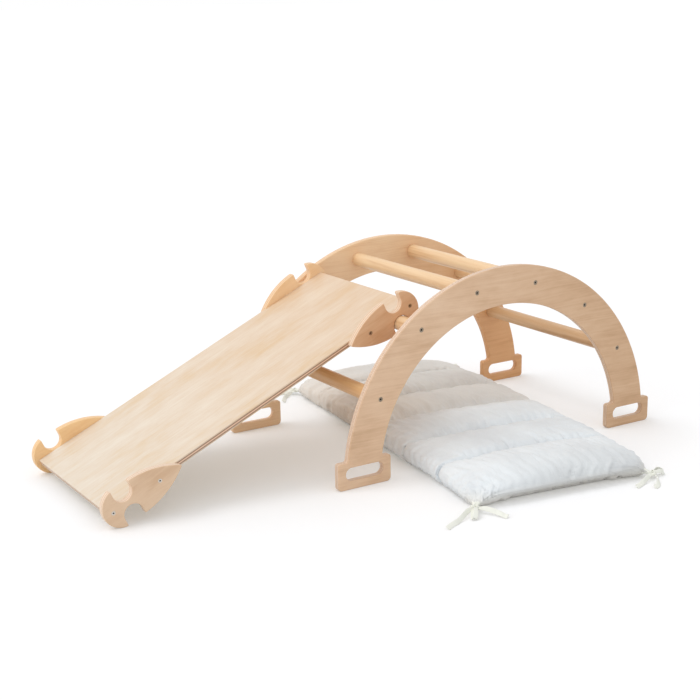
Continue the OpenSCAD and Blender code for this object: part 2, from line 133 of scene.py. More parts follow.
class NodeTree:
    """The node tree of one material or world, with short ways to add and join nodes."""

    def __init__(self, owner: Material | bpy.types.World) -> None:
        """Switches the owner's nodes on and clears them.

        Args:
            owner: a new material or world.
        """
        owner.use_nodes = True
        self.owner = owner
        self.tree = owner.node_tree
        self.tree.nodes.clear()

    def add(
        self, kind: str, inputs: dict[str | int, object] | None = None, **settings: object
    ) -> bpy.types.Node:
        """Adds a node.

        Args:
            kind: the node's type.
            inputs: a value or another node's socket for each named or numbered input.
            settings: the node's own properties.

        Returns:
            The new node.
        """
        node = self.tree.nodes.new(kind)
        for key, value in settings.items():
            setattr(node, key, value)
        for key, value in (inputs or {}).items():
            if isinstance(value, Socket):
                self.tree.links.new(value, node.inputs[key])
            else:
                node.inputs[key].default_value = value
        return node

    def place(self) -> Socket:
        """The pattern's place that the surface carries."""
        return self.add("ShaderNodeAttribute", attribute_name=PATTERN).outputs["Vector"]

    def object_place(self) -> Socket:
        """The place in the object's own coordinates."""
        return self.add("ShaderNodeTexCoord").outputs["Object"]

    def axes(self, vector: Socket) -> tuple[Socket, Socket, Socket]:
        """The three parts of a vector."""
        split = self.add("ShaderNodeSeparateXYZ", {0: vector})
        return split.outputs[0], split.outputs[1], split.outputs[2]

    def vector(self, x: object, y: object, z: object) -> Socket:
        """A vector made of three values or sockets."""
        return self.add("ShaderNodeCombineXYZ", {0: x, 1: y, 2: z}).outputs[0]

    def maths(self, operation: str, first: object, second: object = 0.0) -> Socket:
        """One sum on two values or sockets."""
        node = self.add("ShaderNodeMath", {0: first, 1: second}, operation=operation)
        return node.outputs[0]

    def weighted(self, parts: Sequence[tuple[Socket, float]]) -> Socket:
        """The sum of the parts, each multiplied by its weight.

        Args:
            parts: each part with its weight.

        Returns:
            The sum.
        """
        total, *others = [self.maths("MULTIPLY", part, weight) for part, weight in parts]
        for part in others:
            total = self.maths("ADD", total, part)
        return total

    def off(self, value: Socket, centre: float) -> Socket:
        """How far the value lies from the centre."""
        return self.maths("ABSOLUTE", self.maths("SUBTRACT", value, centre))

    def stretched(self, vector: Socket, factors: Point) -> Socket:
        """The vector with each part multiplied by its factor."""
        node = self.add("ShaderNodeVectorMath", {0: vector, 1: factors}, operation="MULTIPLY")
        return node.outputs[0]

    def noise(
        self, vector: Socket, scale: float, detail: float, rough: float = 0.5, bend: float = 0.0
    ) -> Socket:
        """Smooth noise from 0 to 1.

        Args:
            vector: the place it is read at.
            scale: how many swells there are to a metre of the vector.
            detail: how many finer layers lie on top.
            rough: how strong each finer layer is.
            bend: how far the pattern is warped.

        Returns:
            The noise as a socket.
        """
        inputs = {"Vector": vector, "Scale": scale, "Detail": detail, "Roughness": rough, "Distortion": bend}
        return self.add("ShaderNodeTexNoise", inputs).outputs[0]

    def stretched_noise(
        self, vector: Socket, factors: Point, detail: float, rough: float = 0.5, bend: float = 0.0
    ) -> Socket:
        """Smooth noise with its own number of swells to a metre for each part of the vector."""
        return self.noise(self.stretched(vector, factors), 1.0, detail, rough, bend)

    def ramp(self, factor: Socket, stops: Sequence[tuple[float, Colour]]) -> Socket:
        """A colour that runs through the stops as the factor goes from 0 to 1.

        Args:
            factor: the place between the stops.
            stops: each stop's place and colour.

        Returns:
            The colour.
        """
        node = self.add("ShaderNodeValToRGB", {0: factor})
        elements = node.color_ramp.elements
        while len(elements) < len(stops):
            elements.new(1.0)
        for element, (position, colour) in zip(elements, stops):
            element.position = position
            element.color = (*colour, 1.0)
        return node.outputs[0]

    def ranged(
        self, value: Socket, low: float, high: float, to_low: float = 0.0, to_high: float = 1.0
    ) -> Socket:
        """The value carried from one range to another, and held inside it."""
        inputs = {"Value": value, "From Min": low, "From Max": high, "To Min": to_low, "To Max": to_high}
        return self.add("ShaderNodeMapRange", inputs).outputs[0]

    def faded(self, value: Socket, span: Span) -> Socket:
        """A share that falls from 1 to 0 as the value goes through the span."""
        return self.ranged(value, *span, 1.0, 0.0)

    def mixed(self, factor: object, first: object, second: object, blend: str = "MIX") -> Socket:
        """Two colours mixed by a factor.

        Args:
            factor: the share of the second colour.
            first: a colour or its socket.
            second: another one.
            blend: how the second lies on the first.

        Returns:
            The mixed colour.
        """
        node = self.add("ShaderNodeMix", data_type="RGBA", blend_type=blend)
        for index, value in ((0, factor), (6, first), (7, second)):
            if isinstance(value, Socket):
                self.tree.links.new(value, node.inputs[index])
            elif index == 0:
                node.inputs[index].default_value = value
            else:
                node.inputs[index].default_value = (*value, 1.0)
        return node.outputs[2]

    def bump(self, height: Socket, distance: float, strength: float, below: Socket | None = None) -> Socket:
        """A bumped normal.

        Args:
            height: the height pattern.
            distance: the real height of the pattern from 0 to 1.
            strength: its share that is used.
            below: another bumped normal that this one lies on.

        Returns:
            The normal as a socket.
        """
        node = self.add("ShaderNodeBump", {"Height": height, "Distance": distance, "Strength": strength})
        if below is not None:
            self.tree.links.new(below, node.inputs["Normal"])
        return node.outputs[0]

    def direct_rays(self) -> Socket:
        """Tells the rays in which a viewer sees the background.

        Returns:
            1 for rays of the camera, a gloss or clear glass, and 0 for all others.
        """
        rays = self.add("ShaderNodeLightPath")
        seen = self.maths("MAXIMUM", rays.outputs["Is Camera Ray"], rays.outputs["Is Glossy Ray"])
        return self.maths("MAXIMUM", seen, rays.outputs["Is Transmission Ray"])

    def surface(self, shader: bpy.types.Node) -> Material:
        """Puts the shader on the material and returns the material."""
        self.add("ShaderNodeOutputMaterial", {"Surface": shader.outputs[0]})
        return self.owner

    def principled(self, inputs: dict[str, object]) -> Material:
        """Puts a principled shader on the material and returns the material."""
        return self.surface(self.add("ShaderNodeBsdfPrincipled", inputs))


def linear(red: int, green: int, blue: int) -> Colour:
    """A colour in the shader's own linear numbers.

    Args:
        red: as a screen shows it, from 0 to 255.
        green: the same.
        blue: the same.

    Returns:
        The colour without the screen's curve.
    """
    screen = np.array([red, green, blue]) / 255
    straight = np.where(screen <= 0.04045, screen / 12.92, ((screen + 0.055) / 1.055) ** 2.4)
    return tuple(float(x) for x in straight)


@dataclass(frozen=True)
class PlywoodFinish:
    """Clear-lacquered birch plywood: veneer on its faces and a stack of plies on its edges.

    The pattern's place holds the way along the face grain, the way across it, and the
    depth under the front face, so a rounded edge cuts through the plies as a router
    does. The plies lie alike on both sides of the sheet's middle.
    """

    name: str
    pale: Colour = linear(240, 208, 176)
    middle: Colour = linear(232, 198, 163)
    deep: Colour = linear(220, 183, 146)
    edge: Colour = linear(246, 210, 170)
    edge_line: Colour = linear(176, 124, 84)
    edge_share: float = 0.75
    line_low: float = 0.06
    glue_line: Colour = linear(126, 84, 58)
    lines: float = 0.26
    knots: float = 0.5
    # painted shade, multiplied into the veneer along it from tint_from to tint_to
    tint: Colour = WHITE
    tint_from: float = 0.0
    tint_to: float = 1.0
    ply: float = 1.4 * MM
    thickness: float = 18 * MM
    roughness: float = 0.46

    def layer(self, tree: NodeTree, depth: Socket) -> Socket:
        """The depth under the nearer face, counted in plies.

        It is (t / 2 - |depth - t / 2|) / ply for a sheet of thickness t, and never
        less than 0.

        Args:
            tree: the material's nodes.
            depth: the depth under the front face.

        Returns:
            The number of plies, with its fraction.
        """
        from_middle = tree.off(depth, self.thickness / 2)
        under = tree.maths("MAXIMUM", tree.maths("SUBTRACT", self.thickness / 2, from_middle), 0.0)
        return tree.maths("DIVIDE", under, self.ply)

    @staticmethod
    def grain(tree: NodeTree, along: Socket, across: Socket, number: Socket) -> Socket:
        """The place on the grain, which a slow noise bends and each ply shifts.

        Args:
            tree: the material's nodes.
            along: the way along the face grain.
            across: the way across it.
            number: which ply it is.

        Returns:
            The place as a vector.
        """
        shift = tree.maths("MULTIPLY", number, 0.37)
        shifted = tree.maths("ADD", across, shift)
        drift = tree.stretched_noise(tree.vector(along, shifted, shift), (2.4, 9.0, 2.4), 1.5)
        swing = tree.maths("MULTIPLY", tree.maths("SUBTRACT", drift, 0.5), 36 * MM)
        return tree.vector(along, tree.maths("ADD", shifted, swing), shift)

    def veneer(self, tree: NodeTree, grain: Socket, tone: Socket) -> Socket:
        """The colour of the veneer, with its pores and its knots.

        Here and there a cell of a Voronoi pattern has a small knot at its middle.

        Args:
            tree: the material's nodes.
            grain: the place on the grain.
            tone: how pale the wood is there, from 0 to 1.

        Returns:
            The colour.
        """
        stops = [(0.0, self.deep), (0.5, self.middle), (1.0, self.pale)]
        plain = tree.ramp(tree.ranged(tone, 0.37, 0.63), stops)
        pore = tree.stretched_noise(grain, (90.0, 1500.0, 90.0), 1.0)
        flecked = tree.mixed(tree.ranged(pore, 0.66, 0.74, 0.0, 0.18), plain, self.edge_line)
        inputs = {"Vector": tree.stretched(grain, (5.2, 8.0, 5.2)), "Scale": 1.0}
        cells = tree.add("ShaderNodeTexVoronoi", inputs)
        chosen = tree.maths("LESS_THAN", tree.axes(cells.outputs["Color"])[0], self.knots)
        eye = tree.ranged(cells.outputs["Distance"], 0.008, 0.034, 0.6, 0.0)
        return tree.mixed(tree.maths("MULTIPLY", eye, chosen), flecked, self.edge_line)

    def plies(self, tree: NodeTree, layer: Socket, number: Socket, veneer: Socket) -> Socket:
        """The colour of the veneer on the faces and of the stack of plies on the edges.

        A few of the odd plies show dark, and glue shows between every two.

        Args:
            tree: the material's nodes.
            layer: the depth, counted in plies.
            number: which ply it is, where 0 is the face's own.
            veneer: the colour of the face.

        Returns:
            The colour.
        """
        on_edge = tree.maths("GREATER_THAN", number, 0.5)
        cut = tree.mixed(tree.maths("MULTIPLY", on_edge, self.edge_share), veneer, self.edge)
        odd = tree.maths("MODULO", number, 2.0)
        chance = tree.add("ShaderNodeTexWhiteNoise", {"W": number}, noise_dimensions="1D").outputs["Value"]
        browned = tree.maths("MULTIPLY", odd, tree.ranged(chance, 0.5, 0.8, self.line_low, 0.8))
        stacked = tree.mixed(browned, cut, self.edge_line)
        glue = tree.ranged(tree.off(tree.maths("FRACT", layer), 0.5), 0.44, 0.5, 0.0, 0.2)
        return tree.mixed(tree.maths("MULTIPLY", glue, on_edge), stacked, self.glue_line)

    def material(self) -> Material:
        """Builds the material.

        The veneer's tone is a sum of soft patches, blotches, wavy growth lines and fine
        fibres, all stretched along the grain. A painted shade may grow along the veneer,
        darkening and warming it towards one end.

        Returns:
            The new material.
        """
        tree = NodeTree(bpy.data.materials.new(self.name))
        along, across, depth = tree.axes(tree.place())
        layer = self.layer(tree, depth)
        number = tree.maths("FLOOR", layer)
        grain = self.grain(tree, along, across, number)
        patch = tree.stretched_noise(grain, (4.5, 13.0, 4.5), 2.0)
        blotch = tree.stretched_noise(grain, (16.0, 52.0, 16.0), 2.0, 0.55)
        line = tree.stretched_noise(grain, (3.2, 185.0, 3.2), 2.0, 0.6)
        fibre = tree.stretched_noise(grain, (24.0, 760.0, 24.0), 2.0, 0.6)
        soft = 1 - self.lines
        weights = [(patch, 0.48 * soft), (blotch, 0.34 * soft), (fibre, 0.18 * soft), (line, self.lines)]
        tone = tree.weighted(weights)
        wood = self.plies(tree, layer, number, self.veneer(tree, grain, tone))
        # painted shade: its share grows along the veneer from tint_from to tint_to
        painted_shade_share = tree.ranged(along, self.tint_from, self.tint_to)
        return tree.principled(
            {
                "Base Color": tree.mixed(painted_shade_share, wood, self.tint, "MULTIPLY"),
                "Roughness": tree.ranged(tone, 0.3, 0.7, self.roughness + 0.05, self.roughness - 0.05),
                "Normal": tree.bump(tree.weighted([(line, 0.4), (fibre, 0.6)]), 0.22 * MM, 0.35),
                "Coat Weight": 0.12,
                "Coat Roughness": 0.3,
            }
        )


@dataclass(frozen=True)
class DowelFinish:
    """Turned, clear-lacquered hardwood, with its grain along the dowel."""

    name: str
    pale: Colour = linear(243, 213, 173)
    middle: Colour = linear(236, 201, 158)
    deep: Colour = linear(216, 174, 128)
    roughness: float = 0.42

    def material(self) -> Material:
        """Builds the material, whose streaks are solid noise stretched along the dowel.

        Returns:
            The new material.
        """
        tree = NodeTree(bpy.data.materials.new(self.name))
        place = tree.place()
        swell = tree.stretched_noise(place, (2.5, 34.0, 34.0), 2.0, 0.5, 0.8)
        streak = tree.stretched_noise(place, (6.0, 190.0, 190.0), 3.0, 0.6, 0.3)
        tone = tree.weighted([(swell, 0.6), (streak, 0.4)])
        stops = [(0.0, self.deep), (0.5, self.middle), (1.0, self.pale)]
        streaked = tree.ramp(tree.ranged(tone, 0.34, 0.66), stops)
        fleck = tree.stretched_noise(place, (220.0, 900.0, 900.0), 1.0)
        return tree.principled(
            {
                "Base Color": tree.mixed(tree.ranged(fleck, 0.64, 0.72, 0.0, 0.3), streaked, self.deep),
                "Roughness": tree.ranged(streak, 0.3, 0.7, self.roughness + 0.05, self.roughness - 0.05),
                "Normal": tree.bump(streak, 0.2 * MM, 0.3),
                "Coat Weight": 0.15,
                "Coat Roughness": 0.28,
            }
        )


@dataclass(frozen=True)
class MetalFinish:
    """Plated steel with the fine marks of turning."""

    name: str
    colour: Colour = linear(140, 128, 113)
    worn: Colour = linear(163, 151, 135)
    # painted shade in the screw's socket
    painted_socket_shade: Colour = linear(24, 20, 17)
    roughness: float = 0.40

    def material(self) -> Material:
        """Builds the material, whose tone and gloss follow fine noise.

        A screw's pattern holds its height over the face, so its socket is darkened by
        that height: painted shade in the socket.

        Returns:
            The new material.
        """
        tree = NodeTree(bpy.data.materials.new(self.name))
        place = tree.object_place()
        # share of painted socket shade, full deep in the socket and none near the face
        deep = tree.faded(tree.axes(tree.place())[2], (-2.4 * MM, -0.6 * MM))
        grit = tree.noise(place, 2600.0, 2.0, 0.6)
        stain = tree.noise(place, 420.0, 3.0, 0.5)
        plated = tree.mixed(tree.ranged(stain, 0.35, 0.7), self.colour, self.worn)
        return tree.principled(
            {
                "Base Color": tree.mixed(deep, plated, self.painted_socket_shade),
                "Metallic": 1.0,
                "Roughness": tree.ranged(grit, 0.2, 0.8, self.roughness - 0.08, self.roughness + 0.14),
                "Normal": tree.bump(grit, 0.03 * MM, 0.5),
            }
        )


@dataclass(frozen=True)
class CottonFinish:
    """Plain-woven cotton, whose pattern's place is measured along its two threads.

    On the mat the pattern's x runs across it, to the right, and its y along it, away
    from the viewer, both from the mat's middle. The painted light's spans lie on them.
    """

    name: str
    colour: Colour = linear(229, 232, 234)
    shade: Colour = linear(217, 219, 221)
    thread: float = 0.55 * MM
    crease: float = 1.1 * MM
    roughness: float = 0.92
    sheen: float = 0.18
    # Four tints of painted light: warm shade low on the near wall, warm bounce light from the wood beside
    # the arch's left foot, shade under the arch, and shade on the near slope.
    low_tint: Colour = WHITE
    low_rise: Span = (12 * MM, 42 * MM)
    low_along: Span = (-0.500, -0.440)
    side_tint: Colour = WHITE
    side_across: Span = (-0.250, 0.0)
    foot_place: float = 0.17
    foot_reach: Span = (0.06, 0.50)
    inner_tint: Colour = WHITE
    inner_along: Span = (-0.080, 0.030)
    slope_tint: Colour = WHITE
    slope_along: Span = (-0.530, -0.400)
    slope_across: Span = (-0.20, 0.0)

    def tinted(self, tree: NodeTree, cloth: Socket) -> Socket:
        """The colour of the cloth under its four tints.

        Painted warm shade warms it near the floor at the mat's near end, painted warm
        bounce light from the wood warms it beside the arch's left foot, and painted shade,
        warmed by the wood, darkens it under the arch. Painted shade greys the slope at the
        near end, which faces away from the light.

        Args:
            tree: the material's nodes.
            cloth: the colour before the tints.

        Returns:
            The tinted colour.
        """
        x, y, _ = tree.axes(tree.place())
        low = tree.faded(tree.axes(tree.object_place())[2], self.low_rise)
        low_shade_share = tree.maths("MULTIPLY", low, tree.faded(y, self.low_along))
        off_foot = tree.off(y, self.foot_place)
        near_foot = tree.faded(off_foot, self.foot_reach)
        foot_bounce_share = tree.maths("MULTIPLY", tree.faded(x, self.side_across), near_foot)
        arch_shade_share = tree.ranged(y, *self.inner_along)
        at_right = tree.ranged(x, *self.slope_across)
        slope_shade_share = tree.maths("MULTIPLY", tree.faded(y, self.slope_along), at_right)
        shares = (low_shade_share, foot_bounce_share, arch_shade_share, slope_shade_share)
        tints = (self.low_tint, self.side_tint, self.inner_tint, self.slope_tint)
        for share, tint in zip(shares, tints):
            cloth = tree.mixed(share, cloth, tint, "MULTIPLY")
        return cloth

    def material(self) -> Material:
        """Builds the material.

        The weave's height is the product of two sines, one along each thread, under a
        slow noise that stands for uneven yarn, and a broad noise tints the cloth. Thin
        creases lie where a noise, stretched across the seams, crosses its middle value.

        Returns:
            The new material.
        """
        tree = NodeTree(bpy.data.materials.new(self.name))
        place = tree.place()
        x, y, _ = tree.axes(place)
        turns = math.pi / self.thread
        warp, weft = (tree.maths("SINE", tree.maths("MULTIPLY", run, turns)) for run in (x, y))
        weave = tree.maths("MULTIPLY", warp, weft)
        slub = tree.stretched_noise(place, (60.0, 900.0, 60.0), 2.0, 0.6)
        cloud = tree.noise(place, 7.0, 3.0, 0.5)
        base = tree.mixed(tree.ranged(cloud, 0.35, 0.65), self.shade, self.colour)
        cloth = tree.mixed(tree.ranged(slub, 0.5, 0.75, 0.0, 0.35), base, self.shade)
        fold = tree.stretched_noise(place, (30.0, 7.0, 1.0), 3.0, 0.55, 0.4)
        crumpled = tree.bump(tree.noise(place, 34.0, 4.0, 0.55, 0.6), 1.6 * MM, 0.35)
        folded = tree.bump(tree.ranged(tree.off(fold, 0.5), 0.0, 0.10), self.crease, 0.5, crumpled)
        height = tree.maths("ADD", tree.maths("MULTIPLY", weave, 0.5), slub)
        return tree.principled(
            {
                "Base Color": self.tinted(tree, cloth),
                "Roughness": self.roughness,
                "Normal": tree.bump(height, 0.12 * MM, 0.6, folded),
                "Sheen Weight": self.sheen,
                "Sheen Roughness": 0.5,
            }
        )


# One birch in two lights: the far panel's warmer colours are painted warm bounce light, and each panel's
# tint is painted shade towards its right foot.
PANEL_FINISHES = {
    Side.NEAR: PlywoodFinish(
        "birch_near_panel",
        pale=linear(235, 202, 170),
        middle=linear(226, 190, 156),
        deep=linear(211, 173, 137),
        edge=linear(255, 235, 212),
        edge_line=linear(166, 106, 66),
        edge_share=0.9,
        line_low=0.55,
        ply=2.0 * MM,
        tint=(0.84, 0.785, 0.70),
        tint_from=2.12,
        tint_to=2.80,
    ),
    Side.FAR: PlywoodFinish(
        "birch_far_panel",
        pale=linear(251, 217, 178),
        middle=linear(245, 208, 167),
        deep=linear(233, 191, 147),
        lines=0.34,
        tint=(0.79, 0.61, 0.44),
        tint_from=6.93,
        tint_to=7.30,
    ),
}
# One birch in four lights: the near upper plate's darker, more orange colours are painted shade, and the far
# plates' orange colours are painted warm bounce light.
PLATE_FINISHES = {
    (Side.NEAR, End.LOWER): PlywoodFinish(
        "birch_near_lower_plate",
        pale=linear(236, 207, 177),
        middle=linear(231, 199, 167),
        deep=linear(219, 183, 148),
        edge=linear(246, 224, 202),
        lines=0.16,
    ),
    (Side.NEAR, End.UPPER): PlywoodFinish(
        "birch_near_upper_plate",
        pale=linear(233, 193, 154),
        middle=linear(227, 183, 143),
        deep=linear(213, 163, 119),
        edge=linear(246, 222, 196),
        lines=0.16,
    ),
    (Side.FAR, End.LOWER): PlywoodFinish(
        "birch_far_lower_plate",
        pale=linear(253, 216, 165),
        middle=linear(250, 209, 156),
        deep=linear(241, 195, 140),
        edge=linear(255, 214, 160),
        lines=0.16,
    ),
    (Side.FAR, End.UPPER): PlywoodFinish(
        "birch_far_upper_plate",
        pale=linear(253, 216, 173),
        middle=linear(248, 209, 163),
        deep=linear(239, 194, 143),
        lines=0.16,
    ),
}
BOARD_FINISH = PlywoodFinish(
    "birch_board",
    pale=linear(232, 222, 207),
    middle=linear(226, 211, 192),
    deep=linear(222, 199, 166),
    # painted shade, darkening and warming the board towards its upper end
    tint=(0.975, 0.85, 0.74),
    tint_from=11.10,
    tint_to=12.00,
    edge=linear(240, 206, 178),
    edge_line=linear(118, 78, 58),
    edge_share=0.9,
    line_low=0.7,
    lines=0.20,
    knots=0.12,
    ply=3.0 * MM,
    thickness=15 * MM,
)
RUNG_FINISH = DowelFinish("beech_rung")
# The same beech with painted shade: warm under the ramp on rung 1, darker and browner on rung 6.
RUNG_FINISHES = {
    1: DowelFinish("beech_rung_painted_warm_shade", linear(240, 198, 146), linear(234, 186, 131), linear(215, 161, 102)),
    6: DowelFinish("deep_beech_rung", linear(217, 180, 139), linear(207, 168, 125), linear(188, 142, 96)),
}
BOLT_FINISH = MetalFinish("bolt_steel")
# One steel at both ends: the upper plates' screws carry painted shade, darker and browner, with a browner
# painted socket shade.
SCREW_FINISHES = {
    End.LOWER: MetalFinish("screw_steel", linear(206, 199, 190), linear(220, 214, 206)),
    End.UPPER: MetalFinish(
        "screw_steel_painted_shade", linear(158, 132, 106), linear(178, 152, 124), painted_socket_shade=linear(84, 60, 40)
    ),
}
ZINC_FINISH = MetalFinish("insert_zinc", linear(176, 172, 158), linear(196, 193, 182), roughness=0.42)
MAT_FINISH = CottonFinish(
    "mat_cotton",
    linear(237, 243, 247),
    linear(227, 232, 236),
    # painted warm shade, painted warm bounce, and painted shade under the arch and on the near slope
    low_tint=(1.03, 0.965, 0.89),
    side_tint=(1.06, 0.97, 0.89),
    inner_tint=(0.91, 0.85, 0.79),
    slope_tint=(0.86, 0.85, 0.84),
)
TIE_FINISH = CottonFinish("tie_cotton", linear(250, 251, 243), linear(237, 239, 230), 0.45 * MM)
THREAD_FINISH = CottonFinish("seam_thread", linear(226, 229, 231), linear(206, 209, 211), 0.3 * MM)


# ---------- Surfaces ----------


@dataclass
class Surface:
    """A skin of quads, which are shaded smooth, and triangles, which are shaded flat."""

    vertices: Array
    quads: Array
    triangles: Array
    pattern: Array

    def flipped(self) -> "Surface":
        """The same skin with its faces turned inside out."""
        return Surface(self.vertices, self.quads[:, ::-1], self.triangles[:, ::-1], self.pattern)

    def moved(self, turn: Array, place: Array) -> "Surface":
        """The same skin turned by a 3 by 3 matrix and then moved."""
        return Surface(self.vertices @ turn.T + place, self.quads, self.triangles, self.pattern)


def joined(surfaces: Sequence[Surface]) -> Surface:
    """Several skins as one.

    Args:
        surfaces: the skins.

    Returns:
        One skin that holds them all.
    """
    starts = np.cumsum([0] + [len(s.vertices) for s in surfaces[:-1]])
    return Surface(
        np.concatenate([s.vertices for s in surfaces]),
        np.concatenate([s.quads + start for s, start in zip(surfaces, starts)]),
        np.concatenate([s.triangles + start for s, start in zip(surfaces, starts)]),
        np.concatenate([s.pattern for s in surfaces]),
    )


def no_faces(corners: int) -> Array:
    """An empty array of faces."""
    return np.zeros((0, corners), int)


def box_of(node: str) -> tuple[Array, Array]:
    """The middle and the size of a node's box."""
    low, high = (np.array(corner, float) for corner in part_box(node))
    return (low + high) / 2, high - low


def distances(path: Array) -> Array:
    """How far each point of a path lies from its start, along the path."""
    return np.concatenate([[0.0], np.cumsum(np.linalg.norm(np.diff(path, axis=0), axis=1))])


def eased(share: Array) -> Array:
    """The smooth step 3 s^2 - 2 s^3 of a share s, which is first held from 0 to 1."""
    held = np.clip(share, 0, 1)
    return held**2 * (3 - 2 * held)


def circle(sides: int) -> Array:
    """The angles of the points of a ring."""
    return 2 * math.pi * np.arange(sides) / sides


def tube(rings: Array, pattern: Array | None = None) -> Surface:
    """A closed skin over a row of rings, each end closed by a fan to its middle.

    Vertex (i, k) is point k of ring i. The faces point out where the points of a ring
    run right-handed about the way from each ring to the next.

    Args:
        rings: points in an array of shape (rings, sides, 3).
        pattern: the pattern's place of each point, in the same shape.

    Returns:
        The skin.
    """
    count, sides = rings.shape[:2]
    place = rings if pattern is None else pattern
    index = np.arange(count * sides).reshape(count, sides)
    after = np.roll(index, -1, axis=1)
    quads = np.stack([index[:-1], after[:-1], after[1:], index[1:]], axis=-1).reshape(-1, 4)
    first, last = count * sides, count * sides + 1
    start = np.stack([np.full(sides, first), after[0], index[0]], axis=-1)
    end = np.stack([np.full(sides, last), index[-1], after[-1]], axis=-1)
    return Surface(
        np.concatenate([rings.reshape(-1, 3), [rings[0].mean(0)], [rings[-1].mean(0)]]),
        quads,
        np.concatenate([start, end]),
        np.concatenate([place.reshape(-1, 3), [place[0].mean(0)], [place[-1].mean(0)]]),
    )


def put(name: str, data: bpy.types.ID) -> Object:
    """Makes an object and puts it in the scene.

    Args:
        name: the object's name.
        data: its mesh, lamp or camera.

    Returns:
        The new object.
    """
    made = bpy.data.objects.new(name, data)
    bpy.context.scene.collection.objects.link(made)
    return made


def piece(name: str, surface: Surface, material: Material, body: Body) -> Object:
    """Makes a Blender object of a skin and lets it ride on its body.

    Args:
        name: the piece's name.
        surface: its skin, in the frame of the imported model.
        material: its finish.
        body: the body it rides on.

    Returns:
        The new object.
    """
    mesh = bpy.data.meshes.new(name)
    mesh.from_pydata(surface.vertices.tolist(), [], surface.quads.tolist() + surface.triangles.tolist())
    smooth = np.arange(len(mesh.polygons)) < len(surface.quads)
    mesh.polygons.foreach_set("use_smooth", smooth)
    place = mesh.attributes.new(PATTERN, "FLOAT_VECTOR", "POINT")
    place.data.foreach_set("vector", surface.pattern.astype(np.float32).ravel())
    mesh.materials.append(material)
    mesh.update()
    made = put(name, mesh)
    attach(made, body.value)
    logger.info("%s: %d vertices, %d faces", name, len(mesh.vertices), len(mesh.polygons))
    return made


def dress(node: str, material: Material) -> None:
    """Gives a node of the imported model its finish.

    Args:
        node: the node's name.
        material: the finish.
    """
    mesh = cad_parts[node].data
    mesh.materials.clear()
    mesh.materials.append(material)
    logger.info("%s: dressed with %s", node, material.name)


# ---------- Sheets cut to an outline ----------


@dataclass(frozen=True)
class Arc:
    """A round stretch of an outline, from start to end in degrees.

    The outline keeps the material on its left: it swells where the angle grows and
    hollows where it falls. Straight stretches are what lies between two arcs.
    """

    x: float
    y: float
    radius: float
    start: float
    end: float

    def mirrored(self) -> "Arc":
        """The arc on the other side of the line x = 0, followed the same way round."""
        return Arc(-self.x, self.y, self.radius, 180 - self.end, 180 - self.start)

    def traced(self) -> tuple[Array, Array]:
        """Follows the arc in steps of sqrt(8 * hair / radius), and at most 11 degrees.

        So no chord lies further off the arc than a hair.

        Returns:
            The points and their outward normals.
        """
        hair = 0.015 * MM
        step = min(math.radians(11), math.sqrt(8 * hair / self.radius))
        sweep = math.radians(self.end - self.start)
        count = max(2, math.ceil(abs(sweep) / step) + 1)
        angle = np.radians(self.start) + np.linspace(0, sweep, count)
        ray = np.column_stack([np.cos(angle), np.sin(angle)])
        return np.array([self.x, self.y]) + self.radius * ray, math.copysign(1, sweep) * ray


@dataclass(frozen=True)
class Loop:
    """A closed outline with its outward normals, and the profile of its edge.

    Each row of the profile is how far the edge lies inside the outline, and how deep it
    lies under the front face.
    """

    points: Array
    normals: Array
    profile: Array

    @staticmethod
    def of(arcs: Sequence[Arc], profile: Array) -> "Loop":
        """Joins arcs to a loop, and leaves out points that lie on each other.

        Args:
            arcs: in the order in which the outline meets them.
            profile: of the loop's edge.

        Returns:
            The loop.
        """
        traced = [arc.traced() for arc in arcs]
        points = np.concatenate([t[0] for t in traced])
        normals = np.concatenate([t[1] for t in traced])
        apart = np.linalg.norm(points - np.roll(points, -1, axis=0), axis=1) > 1e-6
        return Loop(points[apart], normals[apart], profile)

    def rings(self) -> Array:
        """Sweeps the profile round the outline.

        Returns:
            Points of shape (rows of the profile, points, 3): along, across and depth.
        """
        inset = self.profile[:, 0, None, None]
        flat = self.points[None] - inset * self.normals[None]
        depth = np.broadcast_to(self.profile[:, 1, None, None], flat[..., :1].shape)
        return np.concatenate([flat, depth], axis=2)


def rounded_edge(thickness: float, radius: float) -> Array:
    """The profile of a routed edge: a quarter round, the straight edge, a quarter round.

    Args:
        thickness: of the sheet.
        radius: of the two rounds.

    Returns:
        Rows of inset and depth, from the front face to the back face.
    """
    turn = np.linspace(0, math.pi / 2, 6)
    front = radius * np.column_stack([1 - np.sin(turn), 1 - np.cos(turn)])
    rim = np.array([[radius + 0.25 * MM, 0]])
    half = np.concatenate([rim, front])
    return np.concatenate([half, half[::-1] * [1, -1] + [0, thickness]])


def countersink(head: float, shank: float, thickness: float) -> Array:
    """The profile of a screw hole, drawn on an outline of the head's radius.

    Args:
        head: radius at the front face.
        shank: radius at the back face.
        thickness: of the sheet.

    Returns:
        Rows of inset and depth.
    """
    rim = 0.9 * MM
    ease = 0.35 * MM
    return np.array(
        [[ease, 0], [0.3 * ease, 0.3 * ease], [0, ease], [0, rim], [shank - head, rim + head - shank],
         [shank - head, thickness]]
    )


@dataclass(frozen=True)
class Placement:
    """Where a sheet stands: its origin on the front face and the ways along, across and through it."""

    origin: Array
    along: Array
    across: Array
    through: Array

    def turn(self) -> Array:
        """The matrix from the sheet's own axes to the frame."""
        return np.column_stack([self.along, self.across, self.through])


